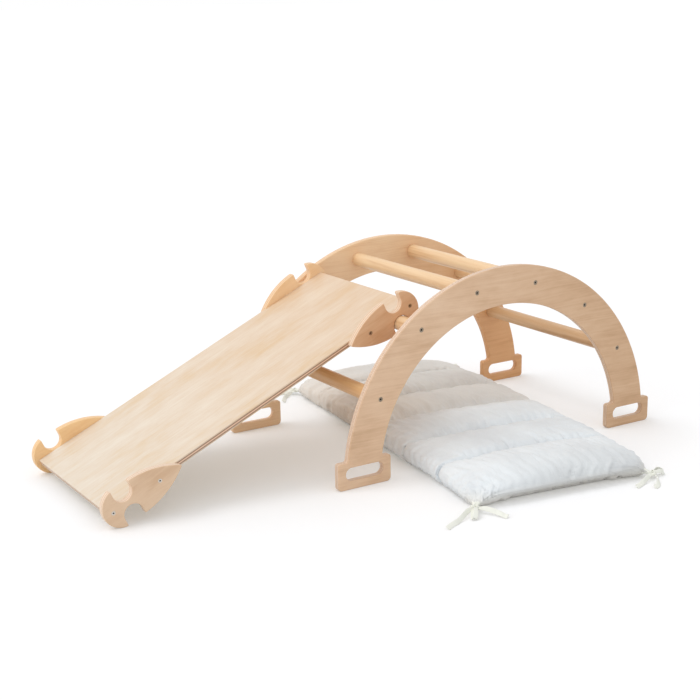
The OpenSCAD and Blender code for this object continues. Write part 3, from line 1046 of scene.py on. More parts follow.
def sheet(loops: Sequence[Loop], placement: Placement, sample: int) -> Surface:
    """A sheet cut to an outer loop and the loops of its holes.

    Every loop is swept by its profile, and each face is the flat area between the first
    or the last rings, cut into triangles.

    Args:
        loops: the outer loop and then the holes, each with the material on its left.
        placement: where the sheet stands.
        sample: which stretch of veneer it is cut from, so that no two look alike.

    Returns:
        The closed skin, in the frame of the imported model.
    """
    rings = [loop.rings() for loop in loops]
    rims = []
    fronts = []
    backs = []
    first = 0
    for ring in rings:
        rows, count = ring.shape[:2]
        index = first + np.arange(rows * count).reshape(rows, count)
        after = np.roll(index, -1, axis=1)
        rims.append(np.stack([index[:-1], index[1:], after[1:], after[:-1]], axis=-1).reshape(-1, 4))
        fronts.append(index[0])
        backs.append(index[-1])
        first += rows * count
    own = np.concatenate([ring.reshape(-1, 3) for ring in rings])
    front = flat_area([ring[0] for ring in rings], np.concatenate(fronts))
    back = flat_area([ring[-1] for ring in rings], np.concatenate(backs))[:, ::-1]
    cut_from = np.array([2.31 * sample, 1.17 * sample, 0])
    skin = Surface(own, np.concatenate(rims), np.concatenate([front, back]), own + cut_from)
    placed = skin.moved(placement.turn(), placement.origin)
    return placed.flipped() if np.linalg.det(placement.turn()) > 0 else placed


def flat_area(rings: Sequence[Array], index: Array) -> Array:
    """Triangles, all right-handed, that fill the area between flat rings.

    Args:
        rings: the outer ring and the holes.
        index: the number of each of their points in the whole skin.

    Returns:
        Triangles of those numbers.
    """
    cut = np.array(tessellate_polygon([(ring * [1, 1, 0]).tolist() for ring in rings]))
    points = np.concatenate(rings)[:, :2]
    a, b, c = points[cut[:, 0]], points[cut[:, 1]], points[cut[:, 2]]
    area = (b[:, 0] - a[:, 0]) * (c[:, 1] - a[:, 1]) - (b[:, 1] - a[:, 1]) * (c[:, 0] - a[:, 0])
    cut[area < 0] = cut[area < 0][:, ::-1]
    return index[cut]


def hole(x: float, y: float, radius: float, profile: Array) -> Loop:
    """A round hole."""
    return Loop.of([Arc(x, y, radius, 0, -360)], profile)


# ---------- Screws ----------


@dataclass(frozen=True)
class SocketScrew:
    """A countersunk screw with a hexagon socket, sunk a little under the face."""

    head: float
    shank: float
    length: float
    socket: float
    rim: float = 0.6 * MM
    sink: float = 0.3 * MM
    depth: float = 2.4 * MM
    sides: int = 48

    def surface(self, place: Array, out: Array) -> Surface:
        """One screw as a grid over angle and ring.

        A ring's radius is a mix of a circle and a hexagon, whose radius at an angle is
        its flat's distance over the cosine of the angle from the middle of that flat.
        Each row of the rings is a radius, the hexagon's share and the depth in the head,
        from the socket's bottom over the face and down to the tip.

        Args:
            place: the middle of its head, on the face of the wood.
            out: the way out of the wood.

        Returns:
            The closed skin.
        """
        cone = self.rim + self.head - self.shank
        rings = np.array(
            [
                [0.10 * self.socket, 1.0, self.depth + 0.5 * MM],
                [0.97 * self.socket, 1.0, self.depth],
                [self.socket, 1.0, self.depth - 0.1 * MM],
                [self.socket, 1.0, 0.35 * MM],
                [self.socket + 0.15 * MM, 0.6, 0.12 * MM],
                [self.socket + 0.45 * MM, 0.0, 0.0],
                [self.head - 0.45 * MM, 0.0, 0.0],
                [self.head - 0.15 * MM, 0.0, 0.06 * MM],
                [self.head, 0.0, 0.2 * MM],
                [self.head, 0.0, self.rim],
                [self.shank, 0.0, cone],
                [self.shank, 0.0, self.length - 1.0 * MM],
                [self.shank - 0.8 * MM, 0.0, self.length],
            ]
        )
        angle = -circle(self.sides)
        sector = math.pi / 3
        from_flat = np.mod(angle + sector / 2, sector) - sector / 2
        hexagon = math.cos(sector / 2) / np.cos(from_flat)
        radius = rings[:, :1] * (rings[:, 1:2] * hexagon + 1 - rings[:, 1:2])
        height = np.broadcast_to(-self.sink - rings[:, 2:], radius.shape)
        own = np.stack([radius * np.cos(angle), radius * np.sin(angle), height], axis=-1)
        turn = np.column_stack([RIGHT_WAY, np.cross(out, RIGHT_WAY), out])
        return tube(own).moved(turn, place)


# ---------- The arch ----------


@dataclass
class Arch:
    """The rocking arch: two plywood sides, six rungs, and the bolts that hold them."""

    length: float = 1.0
    band_outer: float = 476.5 * MM
    band_inner: float = 379 * MM
    band_centre: float = 12 * MM
    thickness: float = 18 * MM
    foot_length: float = 150 * MM
    foot_height: float = 68 * MM
    foot_bottom: float = 11 * MM
    foot_top: float = 7 * MM
    fillet: float = 7 * MM
    slot_length: float = 106 * MM
    slot_height: float = 32 * MM
    slot_centre: float = 38 * MM
    rung_count: int = 6
    rung_ease: float = 1.0 * MM
    rung_sides: int = 96
    rung_steps: int = 25
    edge_round: float = 3 * MM
    bolt_clearance: float = 0.1 * MM
    bolt: SocketScrew = SocketScrew(6 * MM, 3 * MM, 45 * MM, 2.6 * MM)
    middle: Array = field(init=False)
    outer_face: dict[Side, float] = field(init=False)
    rung_materials: dict[int, Material] = field(init=False)
    bolt_material: Material = field(init=False)

    def __post_init__(self) -> None:
        """Reads the arch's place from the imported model."""
        near_low, near_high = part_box("near_side_panel")
        far_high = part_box("far_side_panel")[1]
        self.outer_face = {Side.NEAR: near_low.y, Side.FAR: far_high.y}
        self.middle = np.array([(near_low.x + near_high.x) / 2, (near_low.y + far_high.y) / 2, 0.0])

    @property
    def rung_numbers(self) -> range:
        """The rungs' numbers, the ramp's side first."""
        return range(1, self.rung_count + 1)

    def rung_places(self) -> Array:
        """The rungs' axes as rows of x from the arch's middle and z, the ramp's side first."""
        middles = [box_of(f"rung_{number}")[0] for number in self.rung_numbers]
        return np.array([[x - self.middle[0], z] for x, _, z in middles])

    def outline(self) -> list[Arc]:
        """The outer line of a side: right foot, outer band, left foot, inner band.

        A fillet's circle touches the top of the foot and the band's circle, so its
        centre is one fillet above the foot, and one fillet off the band's circle.

        Returns:
            The outline's arcs.
        """
        inner_end = self.length / 2 - self.foot_length
        outer_end = self.length / 2
        bottom, top, height = self.foot_bottom, self.foot_top, self.foot_height
        level = height + self.fillet
        rise = level - self.band_centre
        outer_x = math.sqrt((self.band_outer + self.fillet) ** 2 - rise**2)
        inner_x = math.sqrt((self.band_inner - self.fillet) ** 2 - rise**2)
        outer_angle = math.degrees(math.atan2(rise, outer_x))
        inner_angle = math.degrees(math.atan2(rise, inner_x))
        foot = [
            Arc(inner_end + top, height - top, top, 90, 180),
            Arc(inner_end + bottom, bottom, bottom, 180, 270),
            Arc(outer_end - bottom, bottom, bottom, 270, 360),
            Arc(outer_end - top, height - top, top, 0, 90),
        ]
        outer_fillet = Arc(outer_x, level, self.fillet, -90, outer_angle - 180)
        inner_fillet = Arc(inner_x, level, self.fillet, inner_angle, -90)
        return [
            *foot,
            outer_fillet,
            Arc(0, self.band_centre, self.band_outer, outer_angle, 180 - outer_angle),
            outer_fillet.mirrored(),
            *[arc.mirrored() for arc in reversed(foot)],
            inner_fillet.mirrored(),
            Arc(0, self.band_centre, self.band_inner, 180 - inner_angle, inner_angle),
            inner_fillet,
        ]

    def hand_slot(self, sign: int) -> Loop:
        """The slot in a foot: two half rounds with straight lines between them.

        Args:
            sign: 1 for the right foot and -1 for the left one.

        Returns:
            The slot's loop.
        """
        centre = sign * (self.length - self.foot_length) / 2
        end = self.slot_height / 2
        reach = self.slot_length / 2 - end
        arcs = [
            Arc(centre + reach, self.slot_centre, end, 90, -90),
            Arc(centre - reach, self.slot_centre, end, -90, -270),
        ]
        return Loop.of(arcs, rounded_edge(self.thickness, self.edge_round))

    def side(self, side: Side) -> None:
        """Builds one side panel with its slots and bolt holes.

        Args:
            side: which of the two.
        """
        edge = rounded_edge(self.thickness, self.edge_round)
        head, shank = self.bolt.head + self.bolt_clearance, self.bolt.shank + self.bolt_clearance
        sink = countersink(head, shank, self.thickness)
        loops = [Loop.of(self.outline(), edge), self.hand_slot(1), self.hand_slot(-1)]
        loops += [hole(x, z, head, sink) for x, z in self.rung_places()]
        origin = np.array([self.middle[0], self.outer_face[side], 0.0])
        placement = Placement(origin, RIGHT_WAY, UP_WAY, -side.out)
        node = f"{side.word}_side_panel"
        skin = sheet(loops, placement, sample=2 + side.value)
        made = piece(f"{node}_dressed", skin, PANEL_FINISHES[side].material(), Body.ARCH)
        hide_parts(node)

    def rung(self, number: int) -> None:
        """Builds a rung: a profile of radius over length, turned about the rung's axis.

        Args:
            number: which rung, counted from the ramp's side.
        """
        centre, size = box_of(f"rung_{number}")
        half, radius = size[1] / 2, size[2] / 2
        ease = self.rung_ease
        turn = np.linspace(0, math.pi / 2, 4)
        end = np.column_stack([radius - ease * (1 - np.sin(turn)), -half + ease * (1 - np.cos(turn))])
        steps = np.linspace(-half + 2 * ease, half - 2 * ease, self.rung_steps)
        straight = np.column_stack([np.full(self.rung_steps, radius), steps])
        profile = np.concatenate([end, straight, end[::-1] * [1, -1]])
        angle = -circle(self.rung_sides)
        along = np.broadcast_to(profile[:, 1:], (len(profile), len(angle)))
        rings = np.stack([profile[:, :1] * np.cos(angle), along, profile[:, :1] * np.sin(angle)], axis=-1)
        pattern = rings[..., [1, 0, 2]] + [1.9 * number, 0.31 * number, 0]
        skin = tube(rings + centre, pattern)
        made = piece(f"rung_{number}_turned", skin, self.rung_materials[number], Body.ARCH)
        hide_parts(f"rung_{number}")

    def bolts(self, side: Side) -> None:
        """Builds the six bolts of one side.

        Args:
            side: which of the two.
        """
        places = [np.array([self.middle[0] + x, self.outer_face[side], z]) for x, z in self.rung_places()]
        skin = joined([self.bolt.surface(place, side.out) for place in places])
        node = f"{side.word}_rung_bolts"
        made = piece(f"{node}_turned", skin, self.bolt_material, Body.ARCH)
        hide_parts(node)

    def build(self) -> None:
        """Builds and dresses the whole arch."""
        plain = RUNG_FINISH.material()
        self.rung_materials = dict.fromkeys(self.rung_numbers, plain)
        self.rung_materials |= {number: finish.material() for number, finish in RUNG_FINISHES.items()}
        self.bolt_material = BOLT_FINISH.material()
        zinc = ZINC_FINISH.material()
        for side in Side:
            self.side(side)
            self.bolts(side)
            dress(f"{side.word}_rung_inserts", zinc)
        for number in self.rung_numbers:
            self.rung(number)


# ---------- The ramp ----------


@dataclass
class Ramp:
    """The ramp: a board between four hook plates, seated on the arch's second rung.

    Its own axes are uphill, across and square to the board, from the board's middle.
    """

    board_length: float = 904 * MM
    board_width: float = 419 * MM
    board_thickness: float = 15 * MM
    plate_thickness: float = 18 * MM
    notch_spacing: float = 800 * MM
    notch_radius: float = 23.5 * MM
    screw_to_notch: float = 40 * MM
    screw_spacing: float = 127 * MM
    nose_radius: float = 50 * MM
    nose_reach: float = 24 * MM
    body_radius: float = 202 * MM
    body_height: float = 93 * MM
    screw_to_widest: float = 60 * MM
    lip_radius: float = 3 * MM
    tip_radius: float = 2.6 * MM
    seat_gap: float = 0.3 * MM
    edge_round: float = 2.3 * MM
    board_round: float = 1.6 * MM
    screw_clearance: float = 0.1 * MM
    seat_rung: str = "rung_2"
    screw: SocketScrew = SocketScrew(5 * MM, 2.5 * MM, 50 * MM, 2.1 * MM)
    uphill: Array = field(init=False)
    square: Array = field(init=False)
    middle: Array = field(init=False)
    plate_materials: dict[tuple[Side, End], Material] = field(init=False)
    screw_materials: dict[End, Material] = field(init=False)

    def __post_init__(self) -> None:
        """Works out the ramp's slope and place.

        The ramp turns about the seated rung until its lower noses touch the floor: the
        slope is the angle whose sine is the rung's height over the noses' centres
        divided by their distance, plus the angle by which the rung lies under the board.
        """
        seat, seat_size = box_of(self.seat_rung)
        rung = np.array([seat[0], box_of("ramp_board")[0][1], seat[2]])
        drop = self.board_thickness / 2 + seat_size[2] / 2 + self.seat_gap
        reach = self.notch_spacing / 2 + self.nose_screw + self.nose_reach - self.nose_radius
        slope = math.asin((rung[2] - self.nose_radius) / math.hypot(reach, drop)) + math.atan2(drop, reach)
        self.uphill = np.array([math.cos(slope), 0.0, math.sin(slope)])
        self.square = np.array([-math.sin(slope), 0.0, math.cos(slope)])
        self.middle = rung - self.uphill * self.notch_spacing / 2 + self.square * drop

    @property
    def nose_screw(self) -> float:
        """How far a nose screw lies from the board's middle, along the ramp."""
        return self.notch_spacing / 2 + self.screw_to_notch

    def board(self) -> None:
        """Builds the board as a sheet with its veneer's grain along the ramp."""
        half, side, corner = self.board_length / 2, self.board_width / 2, self.board_round
        arcs = [
            Arc(half - corner, side - corner, corner, 0, 90),
            Arc(corner - half, side - corner, corner, 90, 180),
            Arc(corner - half, corner - side, corner, 180, 270),
            Arc(half - corner, corner - side, corner, 270, 360),
        ]
        edge = rounded_edge(self.board_thickness, corner - 0.3 * MM)
        placement = Placement(
            self.middle + self.square * self.board_thickness / 2,
            self.uphill,
            np.array([0.0, 1.0, 0.0]),
            -self.square,
        )
        skin = sheet([Loop.of(arcs, edge)], placement, sample=5)
        made = piece("ramp_board_dressed", skin, BOARD_FINISH.material(), Body.RAMP)
        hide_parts("ramp_board")

    def plate_outline(self) -> list[Arc]:
        """The outline of a plate from its nose screw: x towards its body, y square to the board.

        A lip's circle touches its notch's wall and, from inside, the nose or the body's
        arc, so its centre lies one lip off the wall and one lip inside that arc. The tip
        is rounded by a circle inside both arcs of the body.

        Returns:
            The outline's arcs.
        """
        nose_x = self.nose_radius - self.nose_reach
        drop = self.body_radius - self.body_height / 2
        lip = self.lip_radius
        nose_lip_x = self.screw_to_notch - self.notch_radius - lip
        nose_lip_y = math.sqrt((self.nose_radius - lip) ** 2 - (nose_lip_x - nose_x) ** 2)
        body_lip_x = self.screw_to_notch + self.notch_radius + lip
        body_lip_off = body_lip_x - self.screw_to_widest
        body_lip_y = math.sqrt((self.body_radius - lip) ** 2 - body_lip_off**2) - drop
        tip_x = self.screw_to_widest + math.sqrt((self.body_radius - self.tip_radius) ** 2 - drop**2)
        nose_turn = math.degrees(math.atan2(nose_lip_y, nose_lip_x - nose_x))
        body_turn = math.degrees(math.atan2(body_lip_y + drop, body_lip_off))
        tip_turn = math.degrees(math.atan2(drop, tip_x - self.screw_to_widest))
        notch_y = self.board_thickness / 2 + self.notch_radius
        return [
            Arc(nose_x, 0, self.nose_radius, nose_turn, 360 - nose_turn),
            Arc(nose_lip_x, -nose_lip_y, lip, 360 - nose_turn, 360),
            Arc(self.screw_to_notch, -notch_y, self.notch_radius, 180, 0),
            Arc(body_lip_x, -body_lip_y, lip, 180, 360 - body_turn),
            Arc(self.screw_to_widest, drop, self.body_radius, -body_turn, -tip_turn),
            Arc(tip_x, 0, self.tip_radius, -tip_turn, tip_turn),
            Arc(self.screw_to_widest, -drop, self.body_radius, tip_turn, body_turn),
            Arc(body_lip_x, body_lip_y, lip, body_turn, 180),
            Arc(self.screw_to_notch, notch_y, self.notch_radius, 0, -180),
            Arc(nose_lip_x, nose_lip_y, lip, 0, nose_turn),
        ]

    def plate(self, side: Side, end: End) -> None:
        """Builds one hook plate and the two screws that hold it.

        Args:
            side: which side of the board it is on.
            end: which end of the board it is at.
        """
        out = side.out
        inward = -end.value * self.uphill
        face = self.middle + end.value * self.nose_screw * self.uphill
        face = face + out * (self.board_width / 2 + self.plate_thickness)
        head, shank = self.screw.head + self.screw_clearance, self.screw.shank + self.screw_clearance
        sink = countersink(head, shank, self.plate_thickness)
        loops = [
            Loop.of(self.plate_outline(), rounded_edge(self.plate_thickness, self.edge_round)),
            hole(0, 0, head, sink),
            hole(self.screw_spacing, 0, head, sink),
        ]
        placement = Placement(face, inward, self.square, -out)
        name = f"{side.word}_{end.word}"
        skin = sheet(loops, placement, sample=8 + side.value + 2 * end.value)
        plywood, steel = self.plate_materials[side, end], self.screw_materials[end]
        made = piece(f"{name}_hook_plate_dressed", skin, plywood, Body.RAMP)
        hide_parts(f"{name}_hook_plate")
        pair = [self.screw.surface(face + inward * step, out) for step in (0.0, self.screw_spacing)]
        screws = piece(f"{name}_plate_screws_turned", joined(pair), steel, Body.RAMP)
        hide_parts(f"{name}_plate_screws")

    def build(self) -> None:
        """Builds and dresses the whole ramp."""
        self.plate_materials = {place: finish.material() for place, finish in PLATE_FINISHES.items()}
        self.screw_materials = {end: finish.material() for end, finish in SCREW_FINISHES.items()}
        self.board()
        for side in Side:
            for end in End:
                self.plate(side, end)


# ---------- The mat ----------


def ripples(place: Array, shortest: float, longest: float, seed: int, count: int = 20) -> Array:
    """Uneven waves: the sum of sines of mixed lengths and phases, whose mean square is 1.

    Args:
        place: the place along the line that they run on.
        shortest: the shortest wave's length.
        longest: the longest wave's length.
        seed: which set of waves it is.
        count: how many sines it has.

    Returns:
        The height of the waves at each place.
    """
    random = np.random.default_rng(seed)
    lengths = random.uniform(shortest, longest, count)
    phases = random.uniform(0, 2 * math.pi, count)
    waves = np.sin(2 * math.pi * place[..., None] / lengths + phases)
    return waves.sum(axis=-1) * math.sqrt(2 / count)


def creased(waves: Array) -> Array:
    """Waves w turned to folds with sharp creases between them: 0.4 w - exp(-(w / 0.3)^2)."""
    return 0.4 * waves - np.exp(-((waves / 0.3) ** 2)) + 0.25


def refined(grid: Array) -> Array:
    """Puts a new point between every two of a grid, on the cubic through their neighbours.

    It is (9 (b + c) - a - d) / 16 for the four points a, b, c and d in a row about it.

    Args:
        grid: points across and along.

    Returns:
        The finer grid.
    """
    for axis in (0, 1):
        line = np.moveaxis(grid, axis, 0)
        padded = np.concatenate([2 * line[:1] - line[1:2], line, 2 * line[-1:] - line[-2:-1]])
        between = (9 * (padded[1:-2] + padded[2:-1]) - padded[:-3] - padded[3:]) / 16
        finer = np.empty((2 * len(line) - 1, *line.shape[1:]))
        finer[::2], finer[1::2] = line, between
        grid = np.moveaxis(finer, 0, axis)
    return grid


def grid_normals(grid: Array) -> Array:
    """The upward unit normals of a grid of points across and along."""
    normal = np.cross(np.gradient(grid, axis=1), np.gradient(grid, axis=0))
    return normal / np.maximum(np.linalg.norm(normal, axis=-1, keepdims=True), 1e-12)


def cover_faces(rows: int, columns: int) -> tuple[Array, Array, Array]:
    """The faces of a closed cover of two grids that share their rim.

    Args:
        rows: how many points each grid has along.
        columns: how many it has across.

    Returns:
        The upper grid's point numbers, the lower grid's, and the faces of both.
    """
    index = np.arange(rows * columns).reshape(rows, columns)
    under = index + rows * columns
    under[[0, -1], :] = index[[0, -1], :]
    under[:, [0, -1]] = index[:, [0, -1]]
    faces = [
        np.stack([index[:-1, :-1], index[:-1, 1:], index[1:, 1:], index[1:, :-1]], axis=-1),
        np.stack([under[:-1, :-1], under[1:, :-1], under[1:, 1:], under[:-1, 1:]], axis=-1),
    ]
    return index, under, np.concatenate([f.reshape(-1, 4) for f in faces])


@dataclass(frozen=True)
class Folds:
    """A group of folds: their height, the lengths of their waves, and how far they reach.

    The seed says which set of waves they are.
    """

    height: float
    shortest: float
    longest: float
    seed: int
    reach: float = math.inf

    def waves(self, place: Array) -> Array:
        """The uneven waves at places along a line."""
        return ripples(place, self.shortest, self.longest, self.seed)

    def raised(self, place: Array) -> Array:
        """The waves at their height."""
        return self.height * self.waves(place)

    def fall(self, distance: Array) -> Array:
        """Their height at a distance from where they start: height * exp(-distance / reach)."""
        return self.height * np.exp(-distance / self.reach)


@dataclass
class Mat:
    """The quilted mat, which lies turned on the floor, with its channels across it."""

    arch: Arch
    length: float = 1.076
    width: float = 0.504
    height: float = 80 * MM
    seam_height: float = 25 * MM
    corner_dip: float = 11 * MM
    channels: int = 6
    turn: float = 7.3
    centre: tuple[float, float] = (2 * MM, -66 * MM)
    pinch: float = 12 * MM
    inner_pinch: float = 0.16
    edge_rest: float = 0.85
    corner_draw: float = 14 * MM
    corner_fall: float = 0.74
    valley: float = 0.58
    edge_turn: float = 45 * MM
    edge_from: float = 0.58
    edge_blend: float = 0.42
    first_seam_rise: float = 0.42
    first_seam_width: float = 0.14
    tie_gap: float = 7 * MM
    channel_cells: int = 26
    width_cells: int = 72
    start_share: float = 0.93
    motion_cap: float = 10 * MM
    solver_scale: float = 10.0
    frames: int = 20
    sewn_share: float = 0.84
    first_sewn_share: float = 0.66
    corner_hold: float = 14 * MM
    floor_hold: float = 0.5 * MM
    gathers: Folds = Folds(1.7 * MM, 12 * MM, 38 * MM, 1, reach=30 * MM)
    end_folds: Folds = Folds(2.6 * MM, 16 * MM, 58 * MM, 2, reach=75 * MM)
    end_sway: Folds = Folds(9 * MM, 40 * MM, 120 * MM, 8)
    end_pleats: Folds = Folds(0.5, 120 * MM, 300 * MM, 9)
    side_folds: Folds = Folds(1.3 * MM, 12 * MM, 44 * MM, 3, reach=42 * MM)
    crumples: Folds = Folds(0.7 * MM, 22 * MM, 80 * MM, 5)
    crumpling: Folds = Folds(1.0, 60 * MM, 190 * MM, 4)
    swells: Folds = Folds(0.9 * MM, 60 * MM, 160 * MM, 6)
    fans: Folds = Folds(3.2 * MM, 16 * MM, 52 * MM, 7, reach=60 * MM)
    fan_radius: float = 90 * MM
    fan_start: float = 22 * MM
    groove_depth: float = 1.8 * MM
    groove_width: float = 4 * MM
    groove_end: float = 40 * MM
    stitch_pitch: float = 5 * MM
    stitch_margin: float = 9 * MM
    stitch_radius: float = 0.5 * MM
    stitch_rise: float = 0.35 * MM
    stitch_sides: int = 6
    middle: Array = field(init=False)

    def __post_init__(self) -> None:
        """Places the mat, whose centre is measured from the arch's middle."""
        self.middle = self.arch.middle[:2] + np.array(self.centre)

    def placed(self, along: Array, across: Array, height: Array) -> Array:
        """Points of the mat's own axes, turned and moved to the floor under the arch.

        Args:
            along: away from the viewer along the mat.
            across: to the right across the mat.
            height: over the floor.

        Returns:
            The points, with x, y and z last.
        """
        sine, cosine = math.sin(math.radians(self.turn)), math.cos(math.radians(self.turn))
        x = self.middle[0] + along * sine + across * cosine
        y = self.middle[1] + along * cosine - across * sine
        return np.stack([x, y, height], axis=-1)

    def channel_wave(self, u: Array) -> Array:
        """How far the cloth stands up at a place along the mat: 0 at a seam, 1 at a crown."""
        return np.abs(np.sin(math.pi / 2 * self.channels * (u + 1))) ** 0.7

    @staticmethod
    def closing(t: Array, power: float) -> Array:
        """A round shoulder that falls from 1 in the middle to 0 at -1 and 1."""
        return np.sqrt(np.clip(1 - np.abs(t) ** power, 0, None))

    def shape(self, u: Array, v: Array) -> tuple[Array, Array, Array, Array]:
        """The mat's two faces as functions of u along and v across, both from -1 to 1.

        The upper face is a shoulder that falls to the seam on all four sides, times a
        crown for each channel, and the first seam from the viewer is the shallowest, as
        a bell about its place u lifts it. The lower face is flat, and turns up to the
        seam along its edges. The seam dips by the sixth power of uv at the corners. The
        channels' seams draw the long edges in a little and fade out towards them, and
        the corners are drawn in as well.

        Args:
            u: the place along the mat.
            v: the place across the mat.

        Returns:
            The place along, the place across, and the heights of the two faces.
        """
        wave = self.channel_wave(u)
        first = np.exp(-(((u + 1 - 2 / self.channels) / self.first_seam_width) ** 2))
        wave = wave + (1 - wave) * self.first_seam_rise * first
        at_end = np.abs(u) > 1 - 0.5 / self.channels
        drawn = self.pinch * np.where(at_end, 1.0, self.inner_pinch)
        along = u * (self.length / 2 - self.corner_draw * np.abs(v) ** 6)
        across = v * (self.width / 2 - drawn * (1 - wave))
        beyond = (np.abs(v) - self.edge_from) / self.edge_blend
        wave = wave + (1 - wave) * self.edge_rest * eased(beyond) * ~at_end
        seam = self.seam_height - self.corner_dip * np.abs(u * v) ** 6
        shoulder = self.closing(v, 4) * (self.valley * self.closing(u, 8) + (1 - self.valley) * wave)
        shoulder = shoulder * (1 - self.corner_fall * np.abs(u * v) ** 3.2)
        top = seam + (self.height - seam) * shoulder
        lift_u, lift_v = (np.clip(1 - gap / self.edge_turn, 0, None) ** 2 for gap in self.gaps(u, v))
        bottom = seam * np.maximum(lift_u, lift_v)
        return along, across, top, bottom

    def gaps(self, u: Array, v: Array) -> tuple[Array, Array]:
        """How far a place lies from the mat's nearer end and from its nearer side."""
        return (1 - np.abs(u)) * self.length / 2, (1 - np.abs(v)) * self.width / 2

    def places(self) -> tuple[Array, Array]:
        """The grid's places along u and across v, closer together near the mat's edges.

        In the two end channels u follows a sine of the cell's number, and so does v
        over the whole width, so that the cells on the steep walls stay square.

        Returns:
            The places along and the places across.
        """
        share = np.arange(self.channel_cells) / self.channel_cells
        inner = np.arange(1, self.channels - 1)[:, None] + share[None, :]
        last = self.channels - 1 + np.sin(math.pi / 2 * np.append(share, 1.0))
        steps = np.concatenate([self.channels - last[:0:-1], inner.ravel(), last])
        u = 2 * steps / self.channels - 1
        v = np.sin(math.pi / 2 * np.linspace(-1, 1, self.width_cells + 1))
        return u, v

    def stuffed(self, points: Array, quads: Array, sewn: Array) -> Array:
        """Fills the cover by cloth simulation.

        The cloth is a little too long for its place, so it wrinkles between the sewn
        lines, and pressure rounds its channels. It is simulated at ten times its size,
        where the solver's stiffness suits it. No point moves further than the cap.

        Args:
            points: the cover's points.
            quads: its faces.
            sewn: which points are held.

        Returns:
            The points of the filled cover.
        """
        scene = bpy.context.scene
        mesh = bpy.data.meshes.new("mat_cover")
        mesh.from_pydata((points * self.solver_scale).tolist(), [], quads.tolist())
        cover = put("mat_cover", mesh)
        cover.vertex_groups.new(name="sewn").add(np.flatnonzero(sewn).tolist(), 1.0, "REPLACE")
        cloth = cover.modifiers.new("stuffing", "CLOTH")
        cloth.point_cache.frame_start = 1
        cloth.point_cache.frame_end = self.frames
        settings = cloth.settings
        settings.quality = 6
        settings.mass = 0.1
        settings.tension_stiffness = 20.0
        settings.compression_stiffness = 10.0
        settings.shear_stiffness = 5.0
        settings.bending_stiffness = 0.05
        settings.shrink_min = -0.06
        settings.use_pressure = True
        settings.uniform_pressure_force = 4.0
        settings.effector_weights.gravity = 0.0
        settings.vertex_group_mass = "sewn"
        for step in range(1, self.frames + 1):
            scene.frame_set(step)
        filled = cover.evaluated_get(bpy.context.evaluated_depsgraph_get())
        result = np.empty(points.size, np.float32)
        filled.data.vertices.foreach_get("co", result)
        bpy.data.objects.remove(cover)
        bpy.data.meshes.remove(mesh)
        scene.frame_set(1)
        moved = result.reshape(-1, 3).astype(float) / self.solver_scale - points
        size = np.linalg.norm(moved, axis=1, keepdims=True)
        logger.info("mat cover moved %.1f mm, at most %.1f mm", size.mean() / MM, size.max() / MM)
        return points + moved * np.minimum(1, self.motion_cap / np.maximum(size, 1e-9))

    def build(self) -> None:
        """Builds the stuffed cushion from its two faces, which share their rim."""
        u, v = np.meshgrid(*self.places(), indexing="ij")
        along, across, top, bottom = self.shape(u, v)
        index, under, faces = cover_faces(*u.shape)
        used, place = np.unique(faces, return_inverse=True)
        start = bottom + (top - bottom) * self.start_share
        flat = [np.stack([across, along, height], axis=-1).reshape(-1, 3) for height in (start, bottom)]
        held = self.held(u, v, bottom)[used]
        cover = self.stuffed(np.concatenate(flat)[used], place.reshape(-1, 4), held)
        upper, lower = (refined(cover[np.searchsorted(used, face)]) for face in (index, under))
        u, v = refined(np.stack([u, v], axis=-1)).transpose(2, 0, 1)
        folded = self.puckers(u, v)[..., None] * grid_normals(upper)
        fade = np.clip(1 - np.minimum(*self.gaps(u, v)) / self.edge_turn, 0, 1)[..., None]
        upper = upper + folded
        lower = lower + folded * fade
        skin = self.cover_skin(upper, lower, refined(np.stack([across, along], axis=-1)))
        made = piece("mat_quilted", skin, MAT_FINISH.material(), Body.MAT)
        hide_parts("mat_cushion")
        self.stitches(upper)

    def held(self, u: Array, v: Array, bottom: Array) -> Array:
        """Which points stay in place while the cover is filled.

        The channels' seams hold the upper face, but not out to its long edges, and the
        first seam from the viewer over less of its length. The floor holds the lower
        face, and the corners hold both.

        Args:
            u: the place along the mat.
            v: the place across the mat.
            bottom: the height of the lower face.

        Returns:
            A truth for each point of the upper face and then of the lower one.
        """
        seam = np.zeros(u.shape, bool)
        seam[self.channel_cells : -1 : self.channel_cells] = np.abs(v[0]) < self.sewn_share
        seam[self.channel_cells] = np.abs(v[0]) < self.first_sewn_share
        from_end, from_side = self.gaps(u, v)
        corner = (from_end < self.corner_hold) & (from_side < self.corner_hold)
        return np.concatenate([(seam | corner).ravel(), ((bottom < self.floor_hold) | corner).ravel()])

    def cover_skin(self, upper: Array, lower: Array, pattern: Array) -> Surface:
        """The closed skin of the cover's two grids, which share their rim.

        Args:
            upper: points in the mat's own axes: across, along, height.
            lower: the same for the lower face.
            pattern: the place across and along of each cell, before it was filled.

        Returns:
            The skin, on the floor under the arch.
        """
        used, place = np.unique(cover_faces(*upper.shape[:2])[2], return_inverse=True)
        points = np.concatenate([upper.reshape(-1, 3), lower.reshape(-1, 3)])[used]
        vertices = self.placed(points[:, 1], points[:, 0], np.maximum(points[:, 2], 0))
        flat = np.tile(pattern.reshape(-1, 2), (2, 1))[used]
        layer = (used >= pattern[..., 0].size).astype(float)
        return Surface(vertices, place.reshape(-1, 4), no_faces(3), np.column_stack([flat, layer]))

